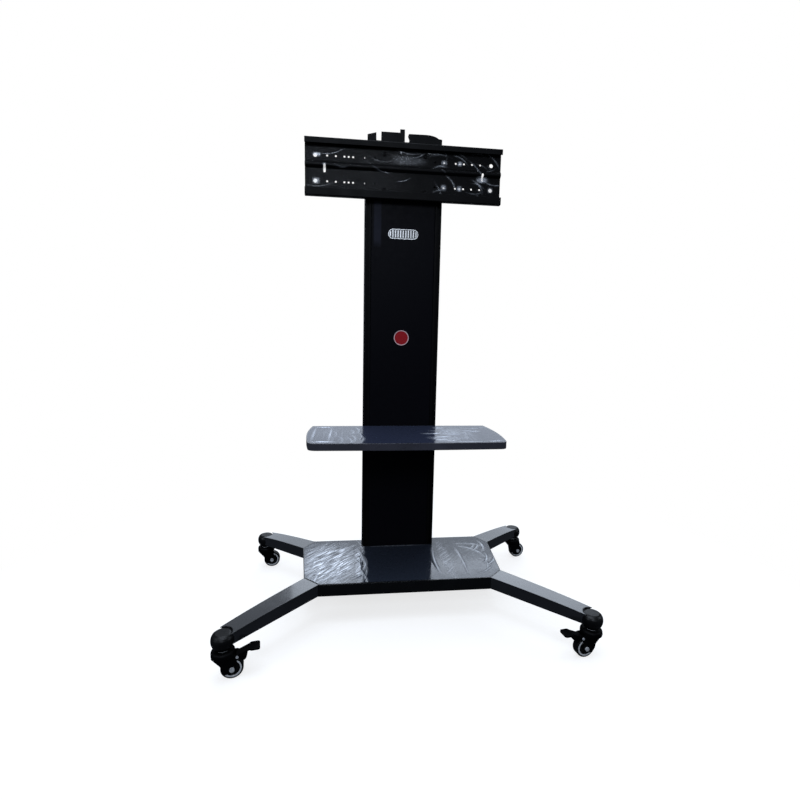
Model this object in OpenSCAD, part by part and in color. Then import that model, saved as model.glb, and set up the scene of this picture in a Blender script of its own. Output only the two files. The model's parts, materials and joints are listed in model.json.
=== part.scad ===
// Mobile television stand: an eight-sided base on four splayed legs with casters, a wide flat
// column, a shelf, and a wall plate on a sliding head.
// Z is up, X runs to the viewer's right and the front faces -Y.
// The origin is on the floor, under the middle of the base.

/* [Casters] */
// Diameter of each wheel
wheel_d = 65; // [60:1:72]
// Width of the tread
wheel_w = 24; // [18:1:30]
// Distance from the swivel axis to the axle, seen from above
caster_trail = 24; // [20:1:28]
// Diameter of the axle
axle_d = 8; // [6:0.5:10]
// Diameter of the kingpin that the fork swivels on
kingpin_d = 12; // [9:0.5:14]
// Thickness of each fork cheek
cheek_t = 3; // [2:0.5:4]
// Reach of the brake lever from the swivel axis
lever_reach = 104; // [95:1:115]
// Angle of the front left caster's trail, seen from above
turn_front_left = 10; // [0:1:359]
// Angle of the front right caster's trail
turn_front_right = 188; // [0:1:359]
// Angle of the rear left caster's trail
turn_rear_left = 4; // [0:1:359]
// Angle of the rear right caster's trail
turn_rear_right = 8; // [0:1:359]

/* [Base] */
// Height of each leg's end cap, from the caster to the top
end_cap_h = 46; // [42:1:54]
// Widest diameter of each end cap
cap_d = 67; // [62:1:72]
// Depth of the base's beams, top skin included
base_h = 44; // [36:1:48]
// Length of the base's straight front edge
front_edge_l = 612; // [520:2:700]
// Distance from the origin forward to the front edge
base_front = 106; // [80:1:120]
// Length of the base's straight rear edge
rear_edge_l = 680; // [600:2:740]
// Distance from the origin back to the rear edge
base_rear = 242; // [230:1:270]
// Angle of the front legs, from the X axis
front_leg_angle = 47; // [42:1:56]
// Length of each front leg, from its root to its caster
front_leg_l = 345; // [300:1:420]
// Angle of the rear legs, from the X axis
rear_leg_angle = 35; // [28:1:40]
// Length of each rear leg, from its root to its caster
rear_leg_l = 235; // [200:1:280]
// Width of a leg at its root
leg_root_w = 72; // [66:1:80]
// Width of a leg at its caster
leg_tip_w = 54; // [50:1:58]
// How far the top of a leg falls towards its caster
leg_drop = 8; // [4:1:12]
// How far the underside of a leg rises towards its caster
leg_rise = 2; // [0:1:6]
// Thickness of the base's folded sheet
base_sheet_t = 2.5; // [1.5:0.5:3.5]

/* [Column] */
// Width of the column
column_w = 290; // [250:2:330]
// Depth of the column
column_d = 60; // [52:1:72]
// Height of the column above the base
column_h = 1545; // [1480:5:1600]
// Width of each side rail
rail_w = 24; // [22:1:30]
// Wall of each side rail
rail_t = 2.5; // [2:0.5:3]
// Width of the groove in each rail's front
groove_w = 8.4; // [8.4:0.1:10]
// How far the front panel lies behind the rails' fronts
panel_inset = 2; // [1.8:0.1:3]
// Thickness of the column's panels
panel_t = 1.5; // [1:0.25:2]
// Length of each cable port in the rear panel
port_l = 70; // [50:1:90]
// Height of each cable port
port_h = 34; // [26:1:44]

/* [Wall plate and head] */
// Width of the wall plate
plate_w = 725; // [640:5:850]
// Height of the wall plate
plate_h = 198; // [190:1:220]
// Height of the wall plate's middle above the floor
plate_z = 1598.5; // [1590:0.5:1610]
// Depth of the wall plate's channel section
plate_depth = 22; // [18:1:28]
// Thickness of the wall plate's sheet
plate_t = 2.5; // [2:0.5:3]
// Diameter of the holes in its two rows
hole_d = 7; // [5:0.5:9]
// Distance of each hole row from the plate's middle
row_offset = 44; // [38:1:48]
// Thickness of the head plate that slides on the column
head_t = 4; // [3:0.5:5]
// Width of the head plate
head_w = 276; // [270:2:280]
// Height of the stamped crest above the wall plate
crest_h = 55.5; // [48:0.5:60]

/* [Shelf] */
// Width of the shelf at its widest
shelf_w = 704; // [600:2:760]
// Depth of the shelf
shelf_d = 312; // [260:2:340]
// Height of the shelf's top above the floor
shelf_z = 650; // [600:5:900]
// Depth of the lip that hangs from the shelf's edge
shelf_lip_h = 24; // [16:1:30]
// Thickness of the shelf's sheet
shelf_t = 2; // [1.5:0.5:2.5]

/* [Badges] */
// Width of the oval plate
oval_w = 114; // [90:1:130]
// Height of the oval plate
oval_h = 36; // [28:1:44]
// Height of the oval plate's middle above the floor
oval_z = 1385; // [1300:1:1420]
// Diameter of the round badge
badge_d = 58; // [40:1:70]
// Height of the round badge's middle above the floor
badge_z = 997; // [900:1:1100]

/* [Hidden] */

// Fineness of round holes, pins and revolved bodies
round_fn = 48;
// Steps in a rounded corner, and in a large arc
corner_steps = 5;
arc_steps = 12;
// How far a cut runs past the face it opens
over = 2;
// Thickness of the clear film left on the tops and on the wall plate
film_t = 0.4;
// How far that film stays inside an edge
film_edge = 3;
// How much wider the film's holes are than those of the wall plate, on each side
film_hole_margin = 1;

// Caster
wheel_r = wheel_d / 2;
tread_t = 4.5;
tread_shoulder = 3;
hub_r = wheel_r - tread_t;
hub_web_w = 12;
hub_rim_t = 5;
hub_boss_r = 9;
boss_gap = 0.5;
running_gap = 0.05;
ring_in_r = hub_r - 5.2;
ring_out_r = hub_r - 0.9;
ring_t = 1.2;
fork_gap = wheel_w + 4;
fork_w = fork_gap + 2 * cheek_t;
wheel_gap = 9;
crown_r = 34;
crown_h = 17;
crown_z = wheel_d + wheel_gap;
crown_edge_r = 8;
race_gap = 0.3;
race_h = 3;
race_r = 18;
flange_r = 21;
flange_h = 1.7;
caster_h = crown_z + crown_h + race_gap + race_h + flange_h;
rivet_r = 9;
rivet_h = 3;
stem_d = 10;
stem_l = 26;
hood_in_r = wheel_r + 3.5;
hood_t = 3;
axle_boss_r = 10;
axle_head_r = 7;
axle_head_h = 4;
cheek_front_x = -crown_r + 2;
pivot_x = 39.5;
pivot_z = crown_z - 5.5;
pivot_d = 5;
pivot_ear_r = 6;
pin_head_r = 4;
pin_head_h = 1.6;
lever_w = fork_gap - 1;
lever_pad_w = 36;
lever_pad_l = 30;
lever_pad_t = 6;
lever_pad_r = 7;
lever_barrel_r = 4.8;
lever_l = lever_reach - pivot_x;
lever_hole_r = 3.7;
shoe_gap = 4.2;
shoe_angles = [34, 44, 54];

// Base, worked out from the legs' roots
base_top_z = caster_h + end_cap_h + leg_drop;
base_low_z = base_top_z - base_h;
skin_low_z = base_top_z - base_sheet_t;
front_dir = [cos(front_leg_angle), -sin(front_leg_angle)];
front_across = [sin(front_leg_angle), cos(front_leg_angle)];
rear_dir = [cos(rear_leg_angle), sin(rear_leg_angle)];
rear_across = [sin(rear_leg_angle), -cos(rear_leg_angle)];
front_corner = [front_edge_l / 2, -base_front];
rear_corner = [rear_edge_l / 2, base_rear];
front_side_corner = front_corner + front_across * leg_root_w;
rear_side_corner = rear_corner + rear_across * leg_root_w;
front_root = front_corner + front_across * leg_root_w / 2;
rear_root = rear_corner + rear_across * leg_root_w / 2;
front_tip = front_root + front_dir * front_leg_l;
rear_tip = rear_root + rear_dir * rear_leg_l;
base_corner_r = 4;
skin_lap = 1.5;
leg_stub_l = 60;
leg_stub_side = 1.5;
front_beam_d = 42;
side_beam_d = 30;
rear_beam_d = column_d - 4;
rib_w = 30;
rib_x = 110;
cap_gap = 0.3;
cap_plug_reach = 22;
socket_r = 12;
socket_low = 4;
socket_top = 5;
foot_t = 8;
foot_bolt_d = 10;
foot_bolt_x = 95;
foot_bolt_y = 14;
foot_head_r = 8.5;
foot_head_h = 6;
foot_nut_h = 8;
foot_washer_t = 0.5;

// Column
column_front_y = base_rear - column_d;
column_mid_y = base_rear - column_d / 2;
column_top_z = base_top_z + column_h;
rail_mid_x = column_w / 2 - rail_w / 2;
rail_in_x = column_w / 2 - rail_w;
rail_edge_r = 2;
chamber_w = 16;
chamber_d = 7;
panel_gap = 0.3;
panel_return = 12;
panel_bend_r = panel_t + 0.5;
tie_h = 20;
tie_t = 3;
tie_side_y = 15;
tie_shares = [0.1, 0.48, 0.87];
tie_screw_x = 80;
screw_d = 4;
screw_l = 9;
screw_head_r = 4.5;
screw_head_h = 1.8;
cap_t = 5;
cap_plug_h = 10;
cap_plug_x = 100;
cap_plug_y = 22;
port_z = [base_top_z + 110, base_top_z + column_h - 270];
grommet_lip = 4;
grommet_lip_t = 2;
grommet_wall = 2;

// Head and wall plate
slide_gap = 0.3;
head_back_y = column_front_y - slide_gap;
head_front_y = head_back_y - head_t;
head_low_z = plate_z - plate_h / 2 + 2;
crest_z = plate_z + plate_h / 2 + crest_h;
spacer_l = 8;
spacer_r = 9;
plate_back_y = head_front_y - spacer_l;
plate_front_y = plate_back_y - plate_depth;
plate_bend_r = plate_t + 1;
plate_lip_top = 20;
plate_lip_low = 27;
ridge_low = 1;
ridge_w = 22;
ridge_h = 8;
hole_x_shares = [0.309, 0.403, 0.524, 0.568, 0.61, 0.695, 0.781];
end_hole_d = 14;
end_hole_x = plate_w / 2 - 37;
end_slot_x = plate_w / 2 - 70;
end_slot_w = 8;
end_slot_h = 28;
plate_bolt_x = 75;
plate_bolt_z = 62;
bolt_d = 8;
bolt_play = 0.2;
bolt_head_r = 7;
bolt_head_h = 5;
tee_w = 14;
tee_t = 4;
nut_r = 7.5;
nut_h = 6.5;
head_bolt_z = 68;

// Shelf
shelf_back_y = head_back_y;
shelf_front_y = shelf_back_y - shelf_d;
shelf_bow = 12;
shelf_front_bow = 5;
shelf_corner_r = 26;
shelf_film_edge = 4;
bracket_t = 3;
bracket_w = 22;
bracket_h = 88;
bracket_l = 170;
bracket_toe = 8;
shelf_bolt_drop = [26, 66];

// Badges
badge_t = 1.5;
badge_seat_y = column_front_y + panel_inset;
oval_rim = 3;
badge_rim = 3;
badge_rim_rise = 0.4;
flutes = 9;
flute_share = 0.45;

// Points and outlines

function unit(v) = v / norm(v);
function arc(c, r, a0, a1, n) =
    [for (i = [0 : n]) c + r * [cos(a0 + (a1 - a0) * i / n), sin(a0 + (a1 - a0) * i / n)]];
function near_turn(a0, a1) = a1 - a0 > 180 ? a1 - 360 : a1 - a0 < -180 ? a1 + 360 : a1;
// The arc that rounds corner b, between the edges to a and to c
function round_corner(a, b, c, r, n) =
    let (
        u = unit(a - b),
        w = unit(c - b),
        half = acos(max(-1, min(1, u * w))) / 2,
        centre = b + unit(u + w) * r / sin(half),
        s = b + u * r / tan(half) - centre,
        e = b + w * r / tan(half) - centre,
        a0 = atan2(s[1], s[0])
    )
    arc(centre, r, a0, near_turn(a0, atan2(e[1], e[0])), n);
// A closed outline with every corner rounded
function rounded(p, r, n = corner_steps) =
    let (m = len(p)) [for (i = [0 : m - 1]) each round_corner(p[(i + m - 1) % m], p[i], p[(i + 1) % m], r, n)];
// An open path with its inner corners rounded, as a bent sheet has them
function bent(p, r) =
    let (m = len(p))
    [for (i = [0 : m - 1]) each (i == 0 || i == m - 1) ? [p[i]]
        : round_corner(p[i - 1], p[i], p[i + 1], r, corner_steps)];
function side_of(a, b) = let (v = unit(b - a)) [-v[1], v[0]];
function mitre(p, i, d) =
    i == 0 ? p[0] + side_of(p[0], p[1]) * d
    : i == len(p) - 1 ? p[i] + side_of(p[i - 1], p[i]) * d
    : let (n1 = side_of(p[i - 1], p[i]), m = unit(n1 + side_of(p[i], p[i + 1]))) p[i] + m * d / (m * n1);
// The section of a sheet between two distances, d0 and d1, to the left of the path p
function layer_section(p, d0, d1) = concat(
    [for (i = [0 : len(p) - 1]) mitre(p, i, d0)], [for (i = [len(p) - 1 : -1 : 0]) mitre(p, i, d1)]);
// The section of a sheet of thickness t whose one face follows the path p
function sheet_section(p, t) = layer_section(p, 0, t);
function flip_x(p) = [-p[0], p[1]];
// Where the line from p along d reaches the height y
function at_y(p, d, y) = [p[0] + d[0] * (y - p[1]) / d[1], y];
// Where the line from p along d reaches the side x
function at_x(p, d, x) = [x, p[1] + d[1] * (x - p[0]) / d[0]];

// A slot shape: a bar with round ends, l long over all and w high
module stadium(l, w) {
    square([l - w, w], center = true);
    for (s = [-1, 1]) translate([s * (l - w) / 2, 0]) circle(d = w, $fn = round_fn);
}

// An outline drawn in X and Z, given a thickness back from its front face at Y = y
module upright(y, t) {
    translate([0, y + t, 0]) rotate([90, 0, 0]) linear_extrude(t) children();
}

// A section drawn in Y and Z, run along X
module along_x(l) {
    rotate([90, 0, 90]) linear_extrude(l, center = true) children();
}

module rod_y(x, y, z, l, r) {
    translate([x, y + l, z]) rotate([90, 0, 0]) cylinder(h = l, r = r, $fn = round_fn);
}

module hex_y(x, y, z, l, r) {
    translate([x, y + l, z]) rotate([90, 0, 0]) cylinder(h = l, r = r, $fn = 6);
}

module mirrored() {
    children();
    mirror([1, 0, 0]) children();
}

// Places a child that is drawn along +X from a leg's root or tip
module at_root(p, a, l = 0) {
    $leg_l = l;
    translate([p[0], p[1], 0]) rotate([0, 0, a]) children();
}

module each_tip() {
    at_root(front_tip, -front_leg_angle, front_leg_l) children();
    at_root(flip_x(front_tip), front_leg_angle - 180, front_leg_l) children();
    at_root(rear_tip, rear_leg_angle, rear_leg_l) children();
    at_root(flip_x(rear_tip), 180 - rear_leg_angle, rear_leg_l) children();
}

// Base

base_outline_half = [front_corner, front_side_corner, rear_side_corner, rear_corner];
base_outline = concat(
    base_outline_half,
    [for (i = [len(base_outline_half) - 1 : -1 : 0]) flip_x(base_outline_half[i])]
);

module base_cover() {
    color("#17181b") difference() {
        translate([0, 0, skin_low_z]) linear_extrude(base_sheet_t)
            polygon(rounded(base_outline, base_corner_r));
        foot_bolt_places() translate([0, 0, skin_low_z - over])
            cylinder(h = base_sheet_t + 2 * over, d = foot_bolt_d + 2 * bolt_play, $fn = round_fn);
    }
}

// Shrinks a point of the base's outline towards the base's middle by the film's edge
function film_point(p) =
    [p[0] - sign(p[0]) * film_edge, p[1] + (p[1] < 0 ? film_edge : -film_edge)];

module base_film() {
    color("#aab4c0", 0.4) difference() {
        translate([0, 0, base_top_z]) linear_extrude(film_t)
            polygon(rounded([for (p = base_outline) film_point(p)], base_corner_r));
        translate([-column_w / 2 - film_edge, column_front_y - film_edge, base_top_z - over])
            cube([column_w + 2 * film_edge, column_d + 2 * film_edge, film_t + 2 * over]);
    }
}

// A folded channel along one edge of the base: plan is its outline and back its open side's shift
module channel_beam(plan, back) {
    difference() {
        translate([0, 0, base_low_z]) linear_extrude(base_h - base_sheet_t) polygon(plan);
        translate([back[0], back[1], base_low_z + base_sheet_t])
            linear_extrude(base_h - 3 * base_sheet_t) polygon(plan);
    }
}

module front_beam() {
    back_y = -base_front + front_beam_d;
    end = at_y(front_corner, front_dir, back_y);
    color("#0c0d10") channel_beam(
        [flip_x(front_corner), front_corner, end, flip_x(end)], [0, base_sheet_t]);
}

// The rear beam is a box, because the column is bolted to it
module rear_beam() {
    front_y = base_rear - rear_beam_d;
    end = at_y(rear_corner, rear_dir, front_y);
    wall = base_sheet_t;
    color("#0c0d10") difference() {
        translate([0, 0, base_low_z]) linear_extrude(base_h - base_sheet_t)
            polygon([flip_x(end), end, rear_corner, flip_x(rear_corner)]);
        translate([0, front_y + wall, base_low_z - over])
            translate([-end[0], 0, 0])
            cube([2 * end[0], rear_beam_d - 2 * wall, base_h - base_sheet_t - wall + over]);
        foot_bolt_places() translate([0, 0, skin_low_z - 2 * wall])
            cylinder(h = 2 * wall + over, d = foot_bolt_d + 2 * bolt_play, $fn = round_fn);
    }
}

module side_beams() {
    in_front = at_x(front_side_corner, front_dir, front_side_corner[0] - side_beam_d);
    in_rear = at_x(rear_side_corner, rear_dir, rear_side_corner[0] - side_beam_d);
    color("#0c0d10") mirrored()
        channel_beam([front_side_corner, rear_side_corner, in_rear, in_front], [-base_sheet_t, 0]);
}

module base_ribs() {
    front_y = -base_front + front_beam_d;
    l = base_rear - rear_beam_d - front_y;
    wall = base_sheet_t;
    color("#0c0d10") mirrored() translate([rib_x - rib_w / 2, front_y, base_low_z]) difference() {
        cube([rib_w, l, base_h - wall]);
        translate([wall, -over, -over]) cube([rib_w - 2 * wall, l + 2 * over, base_h - 2 * wall + over]);
    }
}

// Half the width of a leg at the distance x from its root
function leg_half(l, x) = (leg_root_w + (leg_tip_w - leg_root_w) * x / l) / 2;
// The line of a leg's top, lowered by a distance: it falls ever faster towards the caster
function leg_line(l, x0, x1, lowered) =
    [for (i = [0 : arc_steps]) let (x = x0 + (x1 - x0) * i / arc_steps)
        [x, base_top_z - lowered - leg_drop * pow(max(0, x) / l, 3)]];
// A point of the line of a leg's underside, raised by a distance
function leg_low(l, x, raised) = [x, base_low_z + raised + leg_rise * max(0, x) / l];
// The side view of a stretch of a leg, between a lowered top and a raised underside
function leg_side(l, x0, x1, lowered, raised) =
    concat(leg_line(l, x0, x1, lowered), [leg_low(l, x1, raised), leg_low(l, x0, raised)]);

// A stretch of a leg, drawn along +X from its root: the child is its side view, and its plan is the
// leg's own, drawn in by an inset
module leg_run(l, x0, x1, inset) {
    intersection() {
        linear_extrude(base_top_z + over) polygon([
            [x0, inset - leg_half(l, x0)], [x1, inset - leg_half(l, x1)],
            [x1, leg_half(l, x1) - inset], [x0, leg_half(l, x0) - inset]]);
        rotate([90, 0, 0]) linear_extrude(2 * leg_root_w, center = true) children();
    }
}

// A tapering box leg. Its top skin laps past the walls, a stub runs in under the base's cover, and
// its end is hollowed to the round cap.
module leg(l) {
    t = base_sheet_t;
    root = leg_root_w / 2;
    under = leg_line(l, 0, l, t);
    color("#1d1f23") difference() {
        union() {
            leg_run(l, 0, l, skin_lap) polygon(leg_side(l, 0, l, t, 0));
            leg_run(l, 0, l, 0) polygon(concat(
                leg_line(l, 0, l, 0), [for (i = [len(under) - 1 : -1 : 0]) under[i]]));
            translate([-leg_stub_l, -root + leg_stub_side, base_low_z])
                cube([leg_stub_l, 2 * (root - leg_stub_side), base_h - t]);
        }
        leg_run(l, -over, l, skin_lap + t) polygon(leg_side(l, -over, l, 2 * t, t));
        translate([-leg_stub_l - over, -root + leg_stub_side + t, base_low_z + t])
            cube([leg_stub_l + 2 * over, 2 * (root - leg_stub_side - t), base_h - 3 * t]);
        translate([l, 0, 0]) {
            cap_ball(cap_gap);
            translate([0, 0, caster_h + cap_shoulder_share * end_cap_h])
                cylinder(h = end_cap_h + leg_drop, r = cap_seam_share * cap_d / 2, $fn = round_fn);
        }
    }
}

module leg_front_right() { at_root(front_root, -front_leg_angle) leg(front_leg_l); }
module leg_front_left() { at_root(flip_x(front_root), front_leg_angle - 180) leg(front_leg_l); }
module leg_rear_right() { at_root(rear_root, rear_leg_angle) leg(rear_leg_l); }
module leg_rear_left() { at_root(flip_x(rear_root), 180 - rear_leg_angle) leg(rear_leg_l); }

// The side view of an end cap, from its neck up: radii as shares of its widest, and heights as
// shares of its height
cap_shares = [
    [0.69, 0], [0.74, 0.05], [0.84, 0.14], [0.93, 0.26], [0.985, 0.4], [1, 0.53], [0.985, 0.66],
    [0.945, 0.78], [0.86, 0.89], [0.74, 0.96], [0.6, 1]
];
cap_shoulder_share = 0.85;
cap_seam_share = 0.87;

// The round body of an end cap, grown by a distance
module cap_ball(grown) {
    h = end_cap_h + 2 * grown;
    rotate_extrude($fn = round_fn) polygon(concat(
        [[0, caster_h - grown]],
        [for (s = cap_shares) [s[0] * cap_d / 2 + grown, caster_h - grown + s[1] * h]],
        [[0, caster_h - grown + h]]
    ));
}

// The round plastic end of a leg, with a plug that fits into the leg
module end_cap() {
    l = $leg_l;
    t = base_sheet_t;
    plug_x0 = l - cap_d / 2 - cap_plug_reach;
    plug_x1 = l - cap_d / 4;
    difference() {
        union() {
            cap_ball(0);
            translate([-l, 0, 0]) leg_run(l, plug_x0, plug_x1, skin_lap + t + cap_gap)
                polygon(leg_side(l, plug_x0, plug_x1, 2 * t + cap_gap, t + cap_gap));
        }
        translate([0, 0, caster_h + socket_low])
            cylinder(h = end_cap_h - socket_low - socket_top, r = socket_r, $fn = round_fn);
        translate([0, 0, caster_h - over])
            cylinder(h = socket_low + 2 * over, d = stem_d + 2 * bolt_play, $fn = round_fn);
    }
}

module leg_end_caps() {
    color("#141518") each_tip() end_cap();
}

// Steel bushes in the leg ends that the caster stems screw into
module caster_sockets() {
    color("silver") each_tip() translate([0, 0, caster_h + socket_low]) difference() {
        cylinder(h = end_cap_h - socket_low - socket_top, r = socket_r, $fn = round_fn);
        translate([0, 0, -over])
            cylinder(h = stem_l - socket_low + 2 * over, d = stem_d + 2 * running_gap, $fn = round_fn);
    }
}

// Column

module foot_bolt_places() {
    for (x = [-foot_bolt_x, foot_bolt_x], y = [-foot_bolt_y, foot_bolt_y])
        translate([x, column_mid_y + y, 0]) children();
}

// The plate at the column's foot, as wide as the gap between the rails at its middle
module column_foot() {
    side_x = rail_in_x - panel_gap - panel_t - panel_gap;
    inner_d = column_d - 2 * (panel_inset + panel_t + panel_gap);
    color("dimgray") difference() {
        translate([0, column_mid_y, base_top_z]) linear_extrude(foot_t) union() {
            square([2 * side_x, inner_d], center = true);
            square([2 * rail_in_x, 2 * tie_side_y], center = true);
        }
        foot_bolt_places() translate([0, 0, base_top_z - over])
            cylinder(h = foot_t + 2 * over, d = foot_bolt_d + 2 * bolt_play, $fn = round_fn);
    }
}

module foot_bolts() {
    nut_top_z = skin_low_z - base_sheet_t;
    low_z = nut_top_z - foot_nut_h - foot_washer_t;
    color("silver") foot_bolt_places() {
        translate([0, 0, base_top_z + foot_t]) cylinder(h = foot_head_h, r = foot_head_r, $fn = 6);
        translate([0, 0, low_z]) cylinder(h = base_top_z + foot_t - low_z, d = foot_bolt_d, $fn = round_fn);
        translate([0, 0, nut_top_z - foot_nut_h]) cylinder(h = foot_nut_h, r = foot_head_r, $fn = 6);
    }
}

// The section of a side rail, about its own middle: a box with a T-shaped groove in its front
module rail_section() {
    hw = rail_w / 2;
    hd = column_d / 2;
    groove_back = -hd + rail_t + chamber_d;
    difference() {
        polygon(rounded([[-hw, -hd], [hw, -hd], [hw, hd], [-hw, hd]], rail_edge_r));
        translate([-groove_w / 2, -hd - over]) square([groove_w, rail_t + 2 * over]);
        translate([-chamber_w / 2, -hd + rail_t]) square([chamber_w, chamber_d]);
        translate([-hw + rail_t, groove_back + rail_t])
            square([rail_w - 2 * rail_t, column_d - chamber_d - 3 * rail_t]);
    }
}

module column_rail(x) {
    color("#0b0c0e") translate([x, column_mid_y, base_top_z]) linear_extrude(column_h) rail_section();
}

module column_rail_left() { column_rail(-rail_mid_x); }
module column_rail_right() { column_rail(rail_mid_x); }

// A panel between the rails, folded back along both sides. The way is 1 at the front, -1 behind.
module panel_body(face_y, way) {
    x = rail_in_x - panel_gap;
    path = bent([[-x, face_y + way * panel_return], [-x, face_y], [x, face_y],
        [x, face_y + way * panel_return]], panel_bend_r);
    translate([0, 0, base_top_z]) linear_extrude(column_h)
        polygon(sheet_section(path, way * panel_t));
}

module front_panel() {
    color("#121316") panel_body(column_front_y + panel_inset, 1);
}

module rear_panel() {
    face_y = base_rear - panel_inset;
    color("#121316") difference() {
        panel_body(face_y, -1);
        for (z = port_z) translate([0, face_y - panel_t - over, z])
            rotate([-90, 0, 0]) linear_extrude(panel_t + 2 * over) stadium(port_l, port_h);
        screw_places() rod_y(0, face_y - panel_t - over, 0, panel_t + 2 * over, screw_d / 2 + bolt_play);
    }
}

function tie_z(share) = base_top_z + column_h * share;

module screw_places() {
    for (share = tie_shares, x = [-tie_screw_x, tie_screw_x]) translate([x, 0, tie_z(share)]) children();
}

// Cross bars between the rails. Each is a channel with its web at the rear, for the panel's screws.
module column_ties() {
    rear_y = base_rear - panel_inset - panel_t;
    front_y = column_mid_y - tie_side_y;
    color("dimgray") difference() {
        for (share = tie_shares) translate([0, 0, tie_z(share) - tie_h / 2]) union() {
            translate([-rail_in_x, front_y, 0]) cube([2 * rail_in_x, 2 * tie_side_y, tie_t]);
            translate([-cap_plug_x, front_y, 0]) cube([2 * cap_plug_x, rear_y - front_y, tie_t]);
            translate([-cap_plug_x, rear_y - tie_t, 0]) cube([2 * cap_plug_x, tie_t, tie_h]);
        }
        screw_places() rod_y(0, rear_y - tie_t - over, 0, tie_t + 2 * over, screw_d / 2 + running_gap);
    }
}

module panel_screws() {
    face_y = base_rear - panel_inset;
    color("#2a2b2e") screw_places() {
        rod_y(0, face_y - screw_l, 0, screw_l, screw_d / 2);
        rod_y(0, face_y, 0, screw_head_h, screw_head_r);
    }
}

module column_cap() {
    hw = column_w / 2;
    hd = column_d / 2;
    color("#0e0f11") translate([0, column_mid_y, column_top_z]) {
        linear_extrude(cap_t) polygon(rounded([[-hw, -hd], [hw, -hd], [hw, hd], [-hw, hd]], rail_edge_r));
        translate([-cap_plug_x, -cap_plug_y, -cap_plug_h]) difference() {
            cube([2 * cap_plug_x, 2 * cap_plug_y, cap_plug_h]);
            translate([tie_t, tie_t, -over])
                cube([2 * (cap_plug_x - tie_t), 2 * (cap_plug_y - tie_t), cap_plug_h + over]);
        }
    }
}

module port_grommets() {
    face_y = base_rear - panel_inset;
    lip_l = port_l + 2 * grommet_lip;
    lip_h = port_h + 2 * grommet_lip;
    color("#0a0a0a") for (z = port_z) translate([0, face_y, z]) rotate([-90, 0, 0]) difference() {
        union() {
            linear_extrude(grommet_lip_t) stadium(lip_l, lip_h);
            translate([0, 0, -panel_t - grommet_wall]) linear_extrude(panel_t + grommet_wall + grommet_lip_t)
                stadium(port_l - running_gap, port_h - running_gap);
        }
        translate([0, 0, -panel_t - grommet_wall - over])
            linear_extrude(panel_t + grommet_wall + grommet_lip_t + 2 * over)
            stadium(port_l - 2 * grommet_wall, port_h - 2 * grommet_wall);
    }
}

// Badges, both bare of any sign

module oval_plate() {
    y = badge_seat_y - badge_t;
    pitch = (oval_w - oval_h) / (flutes - 1);
    color("#c9ccd2") translate([0, 0, oval_z]) {
        difference() {
            upright(y, badge_t) stadium(oval_w, oval_h);
            upright(y - over, over + badge_rim_rise) stadium(oval_w - 2 * oval_rim, oval_h - 2 * oval_rim);
        }
        for (i = [0 : flutes - 1]) translate([-(oval_w - oval_h) / 2 + i * pitch, 0, 0])
            upright(y, badge_rim_rise) square([pitch * flute_share, oval_h - 3 * oval_rim], center = true);
    }
}

module round_badge() {
    y = badge_seat_y - badge_t;
    color("#b3121d") translate([0, 0, badge_z]) difference() {
        rod_y(0, y, 0, badge_t, badge_d / 2);
        rod_y(0, y - over, 0, over + badge_rim_rise, badge_d / 2 - badge_rim);
    }
}

// Head

// The crest that stands above the wall plate, from left to right: places across as shares of half
// the head's width, and heights as shares of the crest's height
crest_shares = [
    [-1, 0.66], [-0.77, 0.84], [-0.765, 0.27], [-0.64, 0.26], [-0.635, 0.92], [-0.135, 0.93],
    [-0.135, 1.18], [-0.01, 1.18], [-0.01, 0.26], [0.1, 0.26], [0.115, 0.42], [0.075, 0.7],
    [0.1, 0.88], [0.56, 0.9]
];
crest_end_shares = [0.9, 0.66];
crest_step_share = 0.62;

module head_plate() {
    hw = head_w / 2;
    base_z = plate_z + plate_h / 2;
    rise = crest_h * crest_end_shares[0];
    outline = concat(
        [[hw, head_low_z], [-hw, head_low_z]],
        [for (s = crest_shares) [s[0] * hw, base_z + s[1] * crest_h / crest_shares[6][1]]],
        [for (i = [1 : corner_steps]) let (a = 75 * i / corner_steps) [
            hw * (crest_shares[13][0] + (crest_end_shares[0] - crest_shares[13][0]) * sin(a) / sin(75)),
            base_z + (crest_shares[13][1] - (crest_shares[13][1] - crest_end_shares[1])
                * (1 - cos(a)) / (1 - cos(75))) * crest_h / crest_shares[6][1]]],
        [[hw, base_z + crest_step_share * crest_h / crest_shares[6][1]]]
    );
    color("#101114") difference() {
        upright(head_front_y, head_t) polygon(outline);
        head_bolt_places() rod_y(0, head_front_y - over, 0, head_t + 2 * over, bolt_d / 2 + bolt_play);
        plate_bolt_places() rod_y(0, head_front_y - over, 0, head_t + 2 * over, bolt_d / 2 + running_gap);
    }
}

module head_bolt_places() {
    for (x = [-rail_mid_x, rail_mid_x], z = [-head_bolt_z, head_bolt_z]) translate([x, 0, plate_z + z])
        children();
}

module plate_bolt_places() {
    for (x = [-plate_bolt_x, plate_bolt_x], z = [-plate_bolt_z, plate_bolt_z])
        translate([x, 0, plate_z + z]) children();
}

// A bolt whose T-shaped head slides in a rail's groove, and whose nut bears on the face at Y = y
module tee_bolt(y) {
    tee_y = column_front_y + rail_t + slide_gap;
    tip_y = y - nut_h - bolt_play;
    translate([-tee_w / 2, tee_y, -tee_w / 2]) cube([tee_w, tee_t, tee_w]);
    rod_y(0, tip_y, 0, tee_y + tee_t - tip_y, bolt_d / 2);
    hex_y(0, y - nut_h, 0, nut_h, nut_r);
}

module head_bolts() {
    color("#55585c") head_bolt_places() tee_bolt(head_front_y);
}

module plate_spacers() {
    color("#2b2c30") plate_bolt_places() difference() {
        rod_y(0, plate_back_y, 0, spacer_l, spacer_r);
        rod_y(0, plate_back_y - over, 0, spacer_l + 2 * over, bolt_d / 2 + bolt_play);
    }
}

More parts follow.
